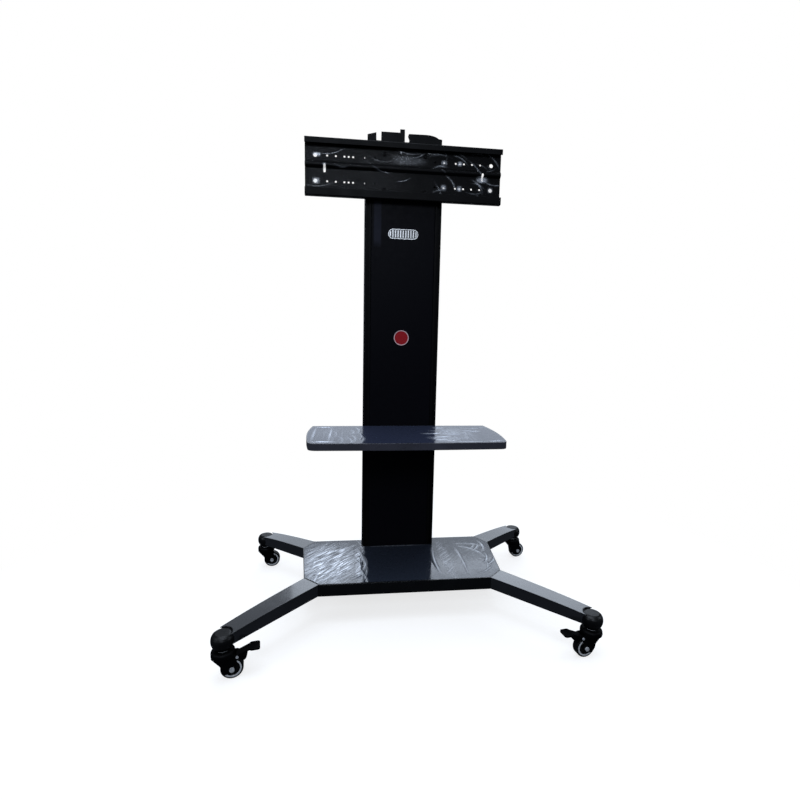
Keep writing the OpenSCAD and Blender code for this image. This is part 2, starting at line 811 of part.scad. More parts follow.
// The wall plate: one long sheet section, folded forward into a flange with a lip at top and
// bottom, with a ridge pressed along its web
function ridge_path() = [
    [plate_back_y, ridge_low], [plate_back_y - ridge_h, ridge_low + ridge_h],
    [plate_back_y - ridge_h, ridge_low + ridge_w - ridge_h], [plate_back_y, ridge_low + ridge_w]
];

// Every hole and slot in the wall plate's web, each larger than its size by a margin all round
module plate_holes(margin) {
    cut_y = plate_back_y - ridge_h - plate_t - over;
    cut_l = ridge_h + plate_t + 2 * over;
    for (side = [-1, 1], row = [-1, 1]) {
        for (share = hole_x_shares)
            rod_y(side * share * plate_w / 2, cut_y, plate_z + row * row_offset, cut_l, hole_d / 2 + margin);
        rod_y(side * end_hole_x, cut_y, plate_z + row * row_offset, cut_l, end_hole_d / 2 + margin);
    }
    for (side = [-1, 1]) translate([side * end_slot_x, 0, plate_z]) upright(cut_y, cut_l)
        rotate([0, 0, 90]) stadium(end_slot_h + 2 * margin, end_slot_w + 2 * margin);
    plate_bolt_places() rod_y(0, cut_y, 0, cut_l, margin > 0 ? bolt_head_r + margin : bolt_d / 2 + bolt_play);
}

module wall_plate() {
    hh = plate_h / 2;
    path = bent(concat(
        [[plate_front_y, -hh + plate_lip_low], [plate_front_y, -hh], [plate_back_y, -hh]], ridge_path(),
        [[plate_back_y, hh], [plate_front_y, hh], [plate_front_y, hh - plate_lip_top]]), plate_bend_r);
    color("#14151a") difference() {
        translate([0, 0, plate_z]) along_x(plate_w) polygon(sheet_section(path, plate_t));
        plate_holes(0);
    }
}

module wall_plate_bolts() {
    seat_y = plate_back_y - plate_t;
    color("#6a6d72") plate_bolt_places() {
        rod_y(0, seat_y, 0, head_back_y - seat_y, bolt_d / 2);
        difference() {
            rod_y(0, seat_y - bolt_head_h, 0, bolt_head_h, bolt_head_r);
            hex_y(0, seat_y - bolt_head_h - over, 0, bolt_head_h / 2 + over, bolt_d / 2);
        }
    }
}

// The clear film left on the web, over the ridge, with the holes pierced through it
module plate_film() {
    end_z = plate_h / 2 - plate_bend_r - film_edge;
    path = bent(concat([[plate_back_y, -end_z]], ridge_path(), [[plate_back_y, end_z]]), plate_bend_r);
    color("#aab4c0", 0.3) difference() {
        translate([0, 0, plate_z]) along_x(plate_w - 2 * film_edge)
            polygon(layer_section(path, plate_t, plate_t + film_t));
        plate_holes(film_hole_margin);
    }
}

// Shelf

// The shelf's outline, drawn in by a distance: square behind, with bowed sides and a bowed front
function shelf_outline(inset, back = 0) =
    let (
        hw = shelf_w / 2 - shelf_bow - inset,
        y0 = shelf_back_y - back,
        y1 = shelf_front_y + shelf_front_bow + inset,
        r = shelf_corner_r - inset,
        side = [for (i = [0 : arc_steps]) let (t = i / arc_steps)
            [hw + 4 * shelf_bow * t * (1 - t), y0 + (y1 + r - y0) * t]],
        corner = arc([hw - r, y1 + r], r, 0, -90, corner_steps),
        front = [for (i = [1 : arc_steps - 1]) let (t = i / arc_steps)
            [(hw - r) * (1 - 2 * t), y1 - 4 * shelf_front_bow * t * (1 - t)]]
    )
    concat(side, corner, front,
        [for (i = [len(corner) - 1 : -1 : 0]) flip_x(corner[i])],
        [for (i = [len(side) - 1 : -1 : 0]) flip_x(side[i])]);

module shelf_tray() {
    color("#16171b") difference() {
        translate([0, 0, shelf_z - shelf_lip_h]) linear_extrude(shelf_lip_h) polygon(shelf_outline(0));
        translate([0, 0, shelf_z - shelf_lip_h - over])
            linear_extrude(shelf_lip_h - shelf_t + over) polygon(shelf_outline(shelf_t, -over));
    }
}

module shelf_film() {
    color("#aab4c0", 0.4) translate([0, 0, shelf_z]) linear_extrude(film_t)
        polygon(shelf_outline(shelf_film_edge, shelf_film_edge));
}

// Two angle brackets under the shelf, each with a gusset on its inner edge
module shelf_brackets() {
    top_z = shelf_z - shelf_t;
    x0 = rail_mid_x - bracket_w / 2;
    front_y = shelf_back_y - bracket_l;
    color("#121316") mirrored() difference() {
        union() {
            translate([x0, shelf_back_y - bracket_t, top_z - bracket_h])
                cube([bracket_w, bracket_t, bracket_h]);
            translate([x0, front_y, top_z - bracket_t]) cube([bracket_w, bracket_l, bracket_t]);
            translate([x0 + bracket_t / 2, 0, 0]) rotate([90, 0, 90])
                linear_extrude(bracket_t, center = true) polygon([
                    [shelf_back_y - bracket_t / 2, top_z - bracket_h], [shelf_back_y - bracket_t / 2, top_z],
                    [front_y, top_z], [front_y, top_z - bracket_toe],
                    [shelf_back_y - bracket_toe, top_z - bracket_h]]);
        }
        for (d = shelf_bolt_drop) rod_y(rail_mid_x, shelf_back_y - bracket_t - over, top_z - d,
            bracket_t + 2 * over, bolt_d / 2 + bolt_play);
    }
}

module shelf_bolts() {
    color("#55585c") mirrored() for (d = shelf_bolt_drop)
        translate([rail_mid_x, 0, shelf_z - shelf_t - d]) tee_bolt(shelf_back_y - bracket_t);
}

// Casters, each drawn about its swivel axis with the wheel trailing towards +X

module rod_across(x, z, l, r) {
    translate([x, l / 2, z]) rotate([90, 0, 0]) cylinder(h = l, r = r, $fn = round_fn);
}

// The lower front edge of a fork's cheek, as shares of the wheel's radius from the axle
cheek_shares = [[-0.985, 0.415], [-0.91, -0.015], [-0.645, -0.445], [-0.28, -0.415]];

// The side view of a fork: from the crown down past the wheel's face and round the axle
module cheek_side(braked) {
    rear_x = braked ? pivot_x : crown_r - 2;
    axle_at = [caster_trail, wheel_r];
    difference() {
        union() {
            polygon(concat(
                [[cheek_front_x, crown_z + 1], [cheek_front_x, crown_z]],
                [for (s = cheek_shares) axle_at + wheel_r * s],
                [[caster_trail + axle_boss_r, wheel_r], [rear_x, pivot_z - pivot_ear_r],
                    [rear_x, crown_z + 1]]
            ));
            translate(axle_at) circle(r = axle_boss_r, $fn = round_fn);
            if (braked) translate([pivot_x, pivot_z]) circle(r = pivot_ear_r, $fn = round_fn);
        }
        translate(axle_at) circle(d = axle_d + 2 * running_gap, $fn = round_fn);
        if (braked) translate([pivot_x, pivot_z])
            circle(d = pivot_d + 2 * running_gap, $fn = round_fn);
    }
}

// The part of the side view where the hood closes the fork in front of the wheel
module hood_side() {
    difference() {
        intersection() {
            cheek_side(false);
            translate([-crown_r, 0]) square([crown_r, crown_z + over]);
        }
        translate([caster_trail, wheel_r]) circle(r = hood_in_r, $fn = round_fn);
    }
}

module fork(braked) {
    crown = concat(
        [[0, crown_z], [crown_r, crown_z]],
        arc([crown_r - crown_edge_r, crown_z + crown_h - crown_edge_r], crown_edge_r, 0, 90, corner_steps),
        [[0, crown_z + crown_h]]
    );
    pocket_h = rivet_h + 2 * race_gap;
    color("#0d0e10") difference() {
        union() {
            rotate_extrude($fn = round_fn) polygon(crown);
            for (s = [-1, 1]) translate([0, s * (fork_gap + cheek_t) / 2 + cheek_t / 2, 0])
                rotate([90, 0, 0]) linear_extrude(cheek_t) cheek_side(braked);
            translate([0, fork_gap / 2, 0]) rotate([90, 0, 0]) linear_extrude(fork_gap) hood_side();
        }
        translate([0, 0, crown_z - over])
            cylinder(h = crown_h + 2 * over, r = kingpin_d / 2 + running_gap, $fn = round_fn);
        translate([0, 0, crown_z - pocket_h]) cylinder(h = pocket_h, r = rivet_r + race_gap, $fn = round_fn);
    }
}

module tread() {
    w = wheel_w / 2;
    profile = concat(
        [[hub_r, -w], [wheel_r - tread_shoulder, -w]],
        arc([wheel_r - tread_shoulder, -w + tread_shoulder], tread_shoulder, -90, 0, corner_steps),
        arc([wheel_r - tread_shoulder, w - tread_shoulder], tread_shoulder, 0, 90, corner_steps),
        [[wheel_r - tread_shoulder, w], [hub_r, w]]
    );
    color("#0a0a0b") translate([caster_trail, 0, wheel_r]) rotate([90, 0, 0])
        rotate_extrude($fn = round_fn) polygon(profile);
}

module hub() {
    bore_r = axle_d / 2 + running_gap;
    w = wheel_w / 2 - 1;
    boss_w = fork_gap / 2 - boss_gap;
    web_w = hub_web_w / 2;
    half = [[bore_r, boss_w], [hub_boss_r, boss_w], [hub_boss_r, web_w], [ring_in_r - 1, web_w],
        [ring_in_r - 1, w], [hub_r, w]];
    color("#151618") translate([caster_trail, 0, wheel_r]) rotate([90, 0, 0])
        rotate_extrude($fn = round_fn)
        polygon(concat(half, [for (i = [len(half) - 1 : -1 : 0]) [half[i][0], -half[i][1]]]));
}

module rings() {
    w = wheel_w / 2 - 1;
    color("#c3c5c9") for (s = [-1, 1])
        translate([caster_trail, s * (w + ring_t / 2), wheel_r]) rotate([90, 0, 0])
        linear_extrude(ring_t, center = true) difference() {
            circle(r = ring_out_r, $fn = round_fn);
            circle(r = ring_in_r, $fn = round_fn);
        }
}

module axle() {
    color("#b5b7ba") translate([caster_trail, 0, wheel_r]) rotate([90, 0, 0]) union() {
        cylinder(h = fork_w + 2 * axle_head_h, d = axle_d, center = true, $fn = round_fn);
        translate([0, 0, fork_w / 2]) cylinder(h = axle_head_h, r = axle_head_r, $fn = round_fn);
        translate([0, 0, -fork_w / 2 - axle_head_h]) cylinder(h = axle_head_h, r = axle_head_r, $fn = 6);
    }
}

// The lever's side view, from the barrel up the arm to the pad and down round the shoe, as shares
// of the lever's length from its pin
lever_shares = [
    [-0.054, 0.059], [0.101, 0.109], [0.566, 0.3], [0.566, 0.209], [0.457, 0.171], [0.434, 0.008],
    [0.388, -0.14], [0.318, -0.217]
];
lever_end_share = [0.039, -0.062];
lever_hole_share = [0.295, -0.03];
pad_share = 0.3;

module brake_lever() {
    pin_at = [pivot_x, pivot_z];
    side = concat(
        [for (s = lever_shares) pin_at + lever_l * s],
        [for (a = shoe_angles) [caster_trail, wheel_r] + (wheel_r + shoe_gap) * [cos(a), sin(a)]],
        [pin_at + lever_l * lever_end_share]
    );
    color("#0e0f11") difference() {
        union() {
            rod_across(pivot_x, pivot_z, lever_w, lever_barrel_r);
            translate([0, lever_w / 2, 0]) rotate([90, 0, 0]) linear_extrude(lever_w) polygon(side);
            translate([lever_reach - lever_pad_l, 0, pivot_z + pad_share * lever_l - lever_pad_t])
                linear_extrude(lever_pad_t) polygon(rounded([
                    [0, -lever_pad_w / 2], [lever_pad_l, -lever_pad_w / 2],
                    [lever_pad_l, lever_pad_w / 2], [0, lever_pad_w / 2]], lever_pad_r));
        }
        rod_across(pivot_x, pivot_z, fork_w, pivot_d / 2 + running_gap);
        rod_across(pivot_x + lever_hole_share[0] * lever_l, pivot_z + lever_hole_share[1] * lever_l,
            fork_w, lever_hole_r);
        translate([0, 0, crown_z - over])
            cylinder(h = crown_h + 2 * over, r = crown_r + race_gap, $fn = round_fn);
    }
}

// The riveted pin that the lever swings on
module brake_pin() {
    color("#b5b7ba") translate([pivot_x, 0, pivot_z]) rotate([90, 0, 0]) union() {
        cylinder(h = fork_w + 2 * pin_head_h, d = pivot_d, center = true, $fn = round_fn);
        for (s = [-1, 1]) translate([0, 0, s * (fork_w + pin_head_h) / 2])
            cylinder(h = pin_head_h, r = pin_head_r, center = true, $fn = round_fn);
    }
}

// The fixed part of a caster: flange, upper race, kingpin with its rivet head, and threaded stem
module stem() {
    race_z = crown_z + crown_h + race_gap;
    rotate_extrude($fn = round_fn) polygon([
        [0, crown_z - race_gap - rivet_h], [rivet_r, crown_z - race_gap - rivet_h],
        [rivet_r, crown_z - race_gap], [kingpin_d / 2, crown_z - race_gap], [kingpin_d / 2, race_z],
        [race_r, race_z], [race_r, race_z + race_h], [flange_r, race_z + race_h], [flange_r, caster_h],
        [stem_d / 2, caster_h], [stem_d / 2, caster_h + stem_l], [0, caster_h + stem_l]
    ]);
}

module caster_stems() {
    color("#9a9ca0") each_tip() stem();
}

module caster_at(tip, turn) {
    translate([tip[0], tip[1], 0]) rotate([0, 0, turn]) children();
}
module at_front_left() { caster_at(flip_x(front_tip), turn_front_left) children(); }
module at_front_right() { caster_at(front_tip, turn_front_right) children(); }
module at_rear_left() { caster_at(flip_x(rear_tip), turn_rear_left) children(); }
module at_rear_right() { caster_at(rear_tip, turn_rear_right) children(); }

base_cover();
base_film();
front_beam();
rear_beam();
side_beams();
base_ribs();
leg_front_left();
leg_front_right();
leg_rear_left();
leg_rear_right();
leg_end_caps();
caster_sockets();
caster_stems();
column_foot();
foot_bolts();
column_rail_left();
column_rail_right();
front_panel();
rear_panel();
column_ties();
column_cap();
panel_screws();
port_grommets();
oval_plate();
round_badge();
head_plate();
head_bolts();
plate_spacers();
wall_plate();
wall_plate_bolts();
plate_film();
shelf_tray();
shelf_brackets();
shelf_bolts();
shelf_film();
at_front_left() fork(true);  // fork_front_left
at_front_left() tread();  // tread_front_left
at_front_left() hub();  // hub_front_left
at_front_left() rings();  // rings_front_left
at_front_left() axle();  // axle_front_left
at_front_right() fork(true);  // fork_front_right
at_front_right() tread();  // tread_front_right
at_front_right() hub();  // hub_front_right
at_front_right() rings();  // rings_front_right
at_front_right() axle();  // axle_front_right
at_rear_left() fork(false);  // fork_rear_left
at_rear_left() tread();  // tread_rear_left
at_rear_left() hub();  // hub_rear_left
at_rear_left() rings();  // rings_rear_left
at_rear_left() axle();  // axle_rear_left
at_rear_right() fork(false);  // fork_rear_right
at_rear_right() tread();  // tread_rear_right
at_rear_right() hub();  // hub_rear_right
at_rear_right() rings();  // rings_rear_right
at_rear_right() axle();  // axle_rear_right
at_front_left() brake_lever();  // brake_lever_left
at_front_right() brake_lever();  // brake_lever_right
at_front_left() brake_pin();  // brake_pin_left
at_front_right() brake_pin();  // brake_pin_right
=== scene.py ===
"""Looks of the mobile television stand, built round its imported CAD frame.

Each CAD node keeps its mesh and gets a procedural finish. The three clear films are drawn anew as
creased sheets, and the brake pads get grip ribs. Lengths are in metres, or in the unit that their
name ends in.
"""

import json
import logging
import math
from collections.abc import Iterable, Sequence
from dataclasses import dataclass, field
from enum import Enum
from typing import ClassVar, Protocol

import bpy
import numpy as np
from mathutils import Matrix, Vector

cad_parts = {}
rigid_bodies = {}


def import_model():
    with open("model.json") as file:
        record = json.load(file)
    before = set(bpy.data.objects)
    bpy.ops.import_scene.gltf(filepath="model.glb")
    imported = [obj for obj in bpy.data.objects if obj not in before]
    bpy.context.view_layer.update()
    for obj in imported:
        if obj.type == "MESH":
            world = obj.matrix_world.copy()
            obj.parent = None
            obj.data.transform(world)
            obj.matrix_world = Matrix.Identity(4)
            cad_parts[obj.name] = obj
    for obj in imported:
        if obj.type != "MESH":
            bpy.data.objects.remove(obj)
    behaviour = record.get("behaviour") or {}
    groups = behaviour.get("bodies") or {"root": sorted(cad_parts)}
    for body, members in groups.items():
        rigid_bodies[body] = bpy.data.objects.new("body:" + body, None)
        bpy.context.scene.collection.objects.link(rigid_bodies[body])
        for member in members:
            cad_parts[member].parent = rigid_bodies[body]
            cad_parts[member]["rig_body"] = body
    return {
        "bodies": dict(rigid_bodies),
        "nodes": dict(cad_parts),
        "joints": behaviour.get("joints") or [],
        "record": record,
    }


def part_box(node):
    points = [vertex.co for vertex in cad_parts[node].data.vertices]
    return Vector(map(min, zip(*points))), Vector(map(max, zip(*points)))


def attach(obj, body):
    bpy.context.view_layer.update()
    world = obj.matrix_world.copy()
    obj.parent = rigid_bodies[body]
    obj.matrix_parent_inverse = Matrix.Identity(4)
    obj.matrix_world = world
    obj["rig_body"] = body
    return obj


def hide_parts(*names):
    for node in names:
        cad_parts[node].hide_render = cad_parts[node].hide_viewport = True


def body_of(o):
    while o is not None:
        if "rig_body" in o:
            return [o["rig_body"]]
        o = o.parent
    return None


logging.basicConfig(level=logging.INFO, format="%(name)s: %(message)s")
LOG = logging.getLogger("stand")

Socket = bpy.types.NodeSocket
Point = tuple[float, float, float]
Pair = tuple[float, float]
Quad = tuple[int, int, int, int]

MM = 0.001
WHITE = "#ffffff"
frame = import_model()


class Slot(Enum):
    """The record's material slots."""

    POWDER = "powder_black"
    GLOSS = "gloss_black"
    MOULDED = "moulded_black"
    WHEEL = "wheel_plastic"
    TREAD = "tread_rubber"
    ZINC = "zinc"
    CHROME = "ring_chrome"
    SILVER = "badge_silver"
    RED = "badge_red"
    FILM = "clear_film"


class Corner(Enum):
    """The four legs and casters."""

    FRONT_LEFT = "front_left"
    FRONT_RIGHT = "front_right"
    REAR_LEFT = "rear_left"
    REAR_RIGHT = "rear_right"


class Side(Enum):
    """The two brakes, on the front casters."""

    LEFT = "left"
    RIGHT = "right"


# Node trees


def linear(hex_colour: str) -> tuple[float, float, float, float]:
    """Turns an sRGB hex colour into the linear values that shaders take.

    Args:
        hex_colour: Six hex digits after a hash sign.

    Returns:
        Red, green and blue in linear light, and an alpha of 1.
    """
    parts = [int(hex_colour[i : i + 2], 16) / 255 for i in (1, 3, 5)]
    r, g, b = (p / 12.92 if p <= 0.04045 else ((p + 0.055) / 1.055) ** 2.4 for p in parts)
    return r, g, b, 1.0


class NodeBuilder:
    """Adds nodes to one shader, world or geometry tree."""

    def __init__(self, tree: bpy.types.NodeTree) -> None:
        """Takes a tree and empties it."""
        tree.nodes.clear()
        self.tree = tree

    def add(
        self,
        kind: str,
        inputs: dict[str | int, object] | Sequence[object] = (),
        output: str | int = 0,
        **settings: object,
    ) -> Socket | None:
        """Adds a node with its settings and links.

        Args:
            kind: Blender's node type.
            inputs: Constants or other nodes' sockets, by the input's name or index, or in their order.
            output: Name or index of the output to return.
            **settings: Properties to set on the node.

        Returns:
            The node's output socket, or None where it has no output.
        """
        node = self.tree.nodes.new(kind)
        for key, value in settings.items():
            setattr(node, key, value)
        pairs = inputs.items() if isinstance(inputs, dict) else enumerate(inputs)
        for key, value in pairs:
            if isinstance(value, Socket):
                self.tree.links.new(value, node.inputs[key])
            else:
                node.inputs[key].default_value = value
        return node.outputs[output] if len(node.outputs) else None


class Surface(NodeBuilder):
    """The node tree of one material, with the patterns that several finishes share."""

    # Most of a noise's values lie in this band.
    MIDDLE_BAND: ClassVar[Pair] = (0.3, 0.7)
    EDGE_SAMPLES: ClassVar[int] = 6
    # Multiplying by this drops a vector's Y.
    DROP_Y: ClassVar[Point] = (1.0, 0.0, 1.0)

    def __init__(self, name: str) -> None:
        """Makes the material with an empty tree."""
        self.material = bpy.data.materials.new(name)
        self.material.use_nodes = True
        super().__init__(self.material.node_tree)

    def grain(self, size_mm: float, detail: float, stretch: Point = (1.0, 1.0, 1.0)) -> Socket:
        """Lays a noise over the piece's own coordinates.

        Args:
            size_mm: Real size of its grains.
            detail: How many finer layers it has.
            stretch: How much denser it is along each axis.

        Returns:
            The noise, mostly between 0.3 and 0.7.
        """
        here = self.add("ShaderNodeTexCoord", output="Object")
        at = self.add("ShaderNodeVectorMath", (here, stretch), operation="MULTIPLY")
        return self.add("ShaderNodeTexNoise", {"Vector": at, "Scale": 1 / (size_mm * MM), "Detail": detail})

    def cloud(
        self,
        size_mm: float,
        detail: float,
        band: Pair = MIDDLE_BAND,
        levels: Pair = (0.0, 1.0),
        stretch: Point = (1.0, 1.0, 1.0),
    ) -> Socket:
        """Spreads one band of a noise over two levels.

        Args:
            size_mm: Real size of its grains.
            detail: How many finer layers it has.
            band: The noise's values that become the two levels.
            levels: The lowest and the highest result.
            stretch: How much denser it is along each axis.

        Returns:
            The pattern, never outside its levels.
        """
        return self.add("ShaderNodeMapRange", (self.grain(size_mm, detail, stretch), *band, *levels))

    def reach(self, middle: Vector, straight: float = 0.0) -> Socket:
        """Measures in X and Z how far a point is from a level line.

        Args:
            middle: The line's middle.
            straight: How far the line runs to each side.

        Returns:
            The distance.
        """
        here = self.add("ShaderNodeTexCoord", output="Object")
        away = self.add("ShaderNodeVectorMath", (here, tuple(middle)), operation="SUBTRACT")
        sides = self.add("ShaderNodeVectorMath", (away,), operation="ABSOLUTE")
        past = self.add("ShaderNodeVectorMath", (sides, (straight, 0.0, 0.0)), operation="SUBTRACT")
        outside = self.add("ShaderNodeVectorMath", (past, (0.0, 0.0, 0.0)), operation="MAXIMUM")
        level = self.add("ShaderNodeVectorMath", (outside, self.DROP_Y), operation="MULTIPLY")
        return self.add("ShaderNodeVectorMath", (level,), "Value", operation="LENGTH")

    def close(
        self,
        colours: tuple[str, str],
        share: Socket,
        relief: Socket,
        depth_mm: float,
        shader: dict[str, object],
        edge_mm: float = 0.0,
    ) -> bpy.types.Material:
        """Ends the tree with one shader.

        Args:
            colours: Hex colours where the share is 0 and where it is 1.
            share: The pattern that mixes them.
            relief: Height of the surface, from 0 to 1.
            depth_mm: Real depth of that relief.
            shader: The shader's other inputs.
            edge_mm: Radius that sharp edges seem to have, or 0.

        Returns:
            The finished material.
        """
        bump: dict[str | int, object] = {"Height": relief, "Distance": depth_mm * MM}
        if edge_mm > 0:
            radius = {"Radius": edge_mm * MM}
            bump["Normal"] = self.add("ShaderNodeBevel", radius, samples=self.EDGE_SAMPLES)
        ends = {0: share, 6: linear(colours[0]), 7: linear(colours[1])}
        colour = self.add("ShaderNodeMix", ends, output=2, data_type="RGBA")
        normal = self.add("ShaderNodeBump", bump)
        skin = self.add("ShaderNodeBsdfPrincipled", {"Base Color": colour, "Normal": normal, **shader})
        self.add("ShaderNodeOutputMaterial", {"Surface": skin})
        return self.material


# Finishes


class Finish(Protocol):
    """Anything that builds a material."""

    def build(self) -> bpy.types.Material:
        """Returns the material."""
        ...


@dataclass(frozen=True)
class PaintFinish:
    """Black paint on sheet steel, from satin powder coat to gloss enamel.

    Attributes:
        name: Material name.
        colours: Colour of the clean paint, and where dust dulls it.
        roughness: Roughness of the clean paint.
        grain_mm: Grain of its texture.
        depth_mm: Depth of that texture.
        specular: Strength of its plain reflection.
        coat: Weight of a smooth clear coat over it.
        edge_mm: Radius that the paint gives to sharp edges.
        coat_roughness: Roughness of that clear coat.
        dust_mm: Size of the dusty areas.
        smear_mm: Size of the wiped areas.
        smear: How much rougher a wiped area gets.
    """

    name: str
    colours: tuple[str, str]
    roughness: float
    grain_mm: float
    depth_mm: float
    specular: float
    coat: float = 0.0
    edge_mm: float = 1.2
    coat_roughness: float = 0.08
    dust_mm: float = 90.0
    smear_mm: float = 40.0
    smear: float = 0.08

    def build(self) -> bpy.types.Material:
        """Builds the material.

        Returns:
            The finished material.
        """
        skin = Surface(self.name)
        levels = (self.roughness, self.roughness + self.smear)
        shader = {
            "Roughness": skin.cloud(self.smear_mm, detail=2, levels=levels),
            "Specular IOR Level": self.specular,
            "Coat Weight": self.coat,
            "Coat Roughness": self.coat_roughness,
        }
        dust = skin.cloud(self.dust_mm, detail=5, band=(0.45, 0.75))
        relief = skin.grain(self.grain_mm, detail=1)
        return skin.close(self.colours, dust, relief, self.depth_mm, shader, self.edge_mm)


@dataclass(frozen=True)
class PlasticFinish:
    """Moulded plastic or rubber with a fine grain, a little rougher where it is worn.

    Attributes:
        name: Material name.
        colours: Colour of the fresh plastic, and where it is worn.
        roughness: Roughness of the fresh plastic.
        grain_mm: Grain of the mould's texture.
        depth_mm: Depth of that texture.
        specular: Strength of its plain reflection.
        wear_mm: Size of the worn areas.
        wear: How much rougher a worn area gets.
    """

    name: str
    colours: tuple[str, str]
    roughness: float
    grain_mm: float
    depth_mm: float
    specular: float
    wear_mm: float = 25.0
    wear: float = 0.12

    def build(self) -> bpy.types.Material:
        """Builds the material.

        Returns:
            The finished material.
        """
        skin = Surface(self.name)
        worn = skin.cloud(self.wear_mm, detail=6, band=(0.5, 0.8))
        rough = self.roughness + self.wear
        shader = {
            "Roughness": skin.add("ShaderNodeMapRange", (worn, 0.0, 1.0, self.roughness, rough)),
            "Specular IOR Level": self.specular,
        }
        grain = skin.grain(self.grain_mm, detail=2)
        return skin.close(self.colours, worn, grain, self.depth_mm, shader)


@dataclass(frozen=True)
class MetalFinish:
    """Plated metal with fine marks.

    Attributes:
        name: Material name.
        colours: Colour of the bright metal, and where it is stained.
        roughness: Roughness of the bright metal.
        mark_mm: Size of its fine marks.
        metallic: How much it mirrors rather than scatters.
        mark_depth_mm: Depth of the marks.
        stain_mm: Size of the stains.
        dulling: How much rougher the marks make it.
    """

    name: str
    colours: tuple[str, str]
    roughness: float
    mark_mm: float
    metallic: float
    mark_depth_mm: float = 0.02
    stain_mm: float = 8.0
    dulling: float = 0.1

    def build(self) -> bpy.types.Material:
        """Builds the material.

        Returns:
            The finished material.
        """
        skin = Surface(self.name)
        levels = (self.roughness, self.roughness + self.dulling)
        shader = {"Metallic": self.metallic, "Roughness": skin.cloud(self.mark_mm, detail=3, levels=levels)}
        stain = skin.cloud(self.stain_mm, detail=4, band=(0.4, 0.75))
        marks = skin.grain(self.mark_mm, detail=3)
        return skin.close(self.colours, stain, marks, self.mark_depth_mm, shader)


@dataclass(frozen=True)
class FilmFinish:
    """Clear polyethylene film, milky white along its creases: partly the film's own milkiness, partly
    painted glints.

    Attributes:
        name: Material name.
        colours: Colour of the flat film over what it lies on, and of its creases, whose white is partly a
            painted glint.
        alphas: How much of the flat film and of a crease shows, from 0 to 1.
        roughness: Roughness of the flat film.
        ior: Refractive index, which sets how strongly the flat film mirrors.
        mirror: How much the creases mirror rather than scatter.
        solid: How white a milky area is between its streaks, from 0 to 1; the white is partly a painted
            glint.
        streak_mm: Width of the fine streaks inside a milky area.
        streak_turn: Direction of those streaks, in degrees from X.
        streak_stretch: How many times longer than wide they are.
        crease_roughness: Roughness of a crease.
        wave_mm: Size of the film's soft waves.
        wave_depth_mm: Depth of those waves.
        brush_mm: Size of the fainter stretches along a crease.
    """

    # Mesh attributes that say how creased and how milky each point is. The white they give is partly
    # painted glint.
    HAZE_AND_GLINT: ClassVar[str] = "haze_and_glint"
    VEIL_AND_GLINT: ClassVar[str] = "veil_and_glint"
    # The film starts to mirror at the first of these shares of a crease and is done at the second.
    MIRROR_BAND: ClassVar[Pair] = (0.1, 0.9)
    # These values of a noise make a crease's faintest and strongest stretches, at these strengths.
    BRUSH_BAND: ClassVar[Pair] = (0.35, 0.7)
    BRUSH_LEVELS: ClassVar[Pair] = (0.55, 1.0)
    BRUSH_LAY: ClassVar[Point] = (1.0, 0.35, 1.0)
    # These values of a noise lie between two streaks and on a streak.
    STREAK_BAND: ClassVar[Pair] = (0.42, 0.64)
    STREAK_DETAIL: ClassVar[float] = 3.0
    WAVE_LAY: ClassVar[Point] = (1.0, 0.6, 1.0)

    name: str
    colours: tuple[str, str]
    alphas: Pair
    roughness: float
    ior: float
    mirror: float = 0.75
    solid: float = 0.1
    streak_mm: float = 5.0
    streak_turn: float = 0.0
    streak_stretch: float = 1.0
    crease_roughness: float = 0.3
    wave_mm: float = 45.0
    wave_depth_mm: float = 0.25
    brush_mm: float = 16.0

    def build(self) -> bpy.types.Material:
        """Builds the material, which reads how creased and how milky the mesh says it is.

        Returns:
            The finished material.
        """
        skin = Surface(self.name)
        # Creases and milky areas turn the film white: partly its milkiness, partly painted glints.
        both = (self._creases(skin), self._streaks(skin))
        share = skin.add("ShaderNodeMath", both, operation="MAXIMUM", use_clamp=True)
        levels = (self.roughness, self.crease_roughness)
        shader = {
            "Metallic": skin.add("ShaderNodeMapRange", (share, *self.MIRROR_BAND, 0.0, self.mirror)),
            "Roughness": skin.add("ShaderNodeMapRange", (share, 0.0, 1.0, *levels)),
            "Alpha": skin.add("ShaderNodeMapRange", (share, 0.0, 1.0, *self.alphas)),
            "IOR": self.ior,
        }
        waves = skin.grain(self.wave_mm, detail=1, stretch=self.WAVE_LAY)
        return skin.close(self.colours, share, waves, self.wave_depth_mm, shader)

    def _creases(self, skin: Surface) -> Socket:
        """Makes the creases' white, which is partly painted glint, brighter and fainter along their length.

        Args:
            skin: The material's tree.

        Returns:
            How much of a crease each point shows.
        """
        haze_and_glint = skin.add("ShaderNodeAttribute", output="Fac", attribute_name=self.HAZE_AND_GLINT)
        brushed = skin.cloud(self.brush_mm, 3, self.BRUSH_BAND, self.BRUSH_LEVELS, self.BRUSH_LAY)
        return skin.add("ShaderNodeMath", (haze_and_glint, brushed), operation="MULTIPLY")

    def _streaks(self, skin: Surface) -> Socket:
        """Draws the milky areas, whose white is partly painted glint, out into streaks.

        Args:
            skin: The material's tree.

        Returns:
            How milky each point is, painted glint included.
        """
        lay = {
            "Vector": skin.add("ShaderNodeTexCoord", output="Object"),
            "Rotation": (0.0, 0.0, math.radians(self.streak_turn)),
            "Scale": (self.streak_stretch, 1.0, 1.0),
        }
        at = skin.add("ShaderNodeMapping", lay, vector_type="TEXTURE")
        scale = 1 / (self.streak_mm * MM)
        noise = {"Vector": at, "Scale": scale, "Detail": self.STREAK_DETAIL}
        grain = skin.add("ShaderNodeTexNoise", noise)
        streaked = skin.add("ShaderNodeMapRange", (grain, *self.STREAK_BAND, self.solid, 1.0))
        veil_and_glint = skin.add("ShaderNodeAttribute", output="Fac", attribute_name=self.VEIL_AND_GLINT)
        return skin.add("ShaderNodeMath", (veil_and_glint, streaked), operation="MULTIPLY")


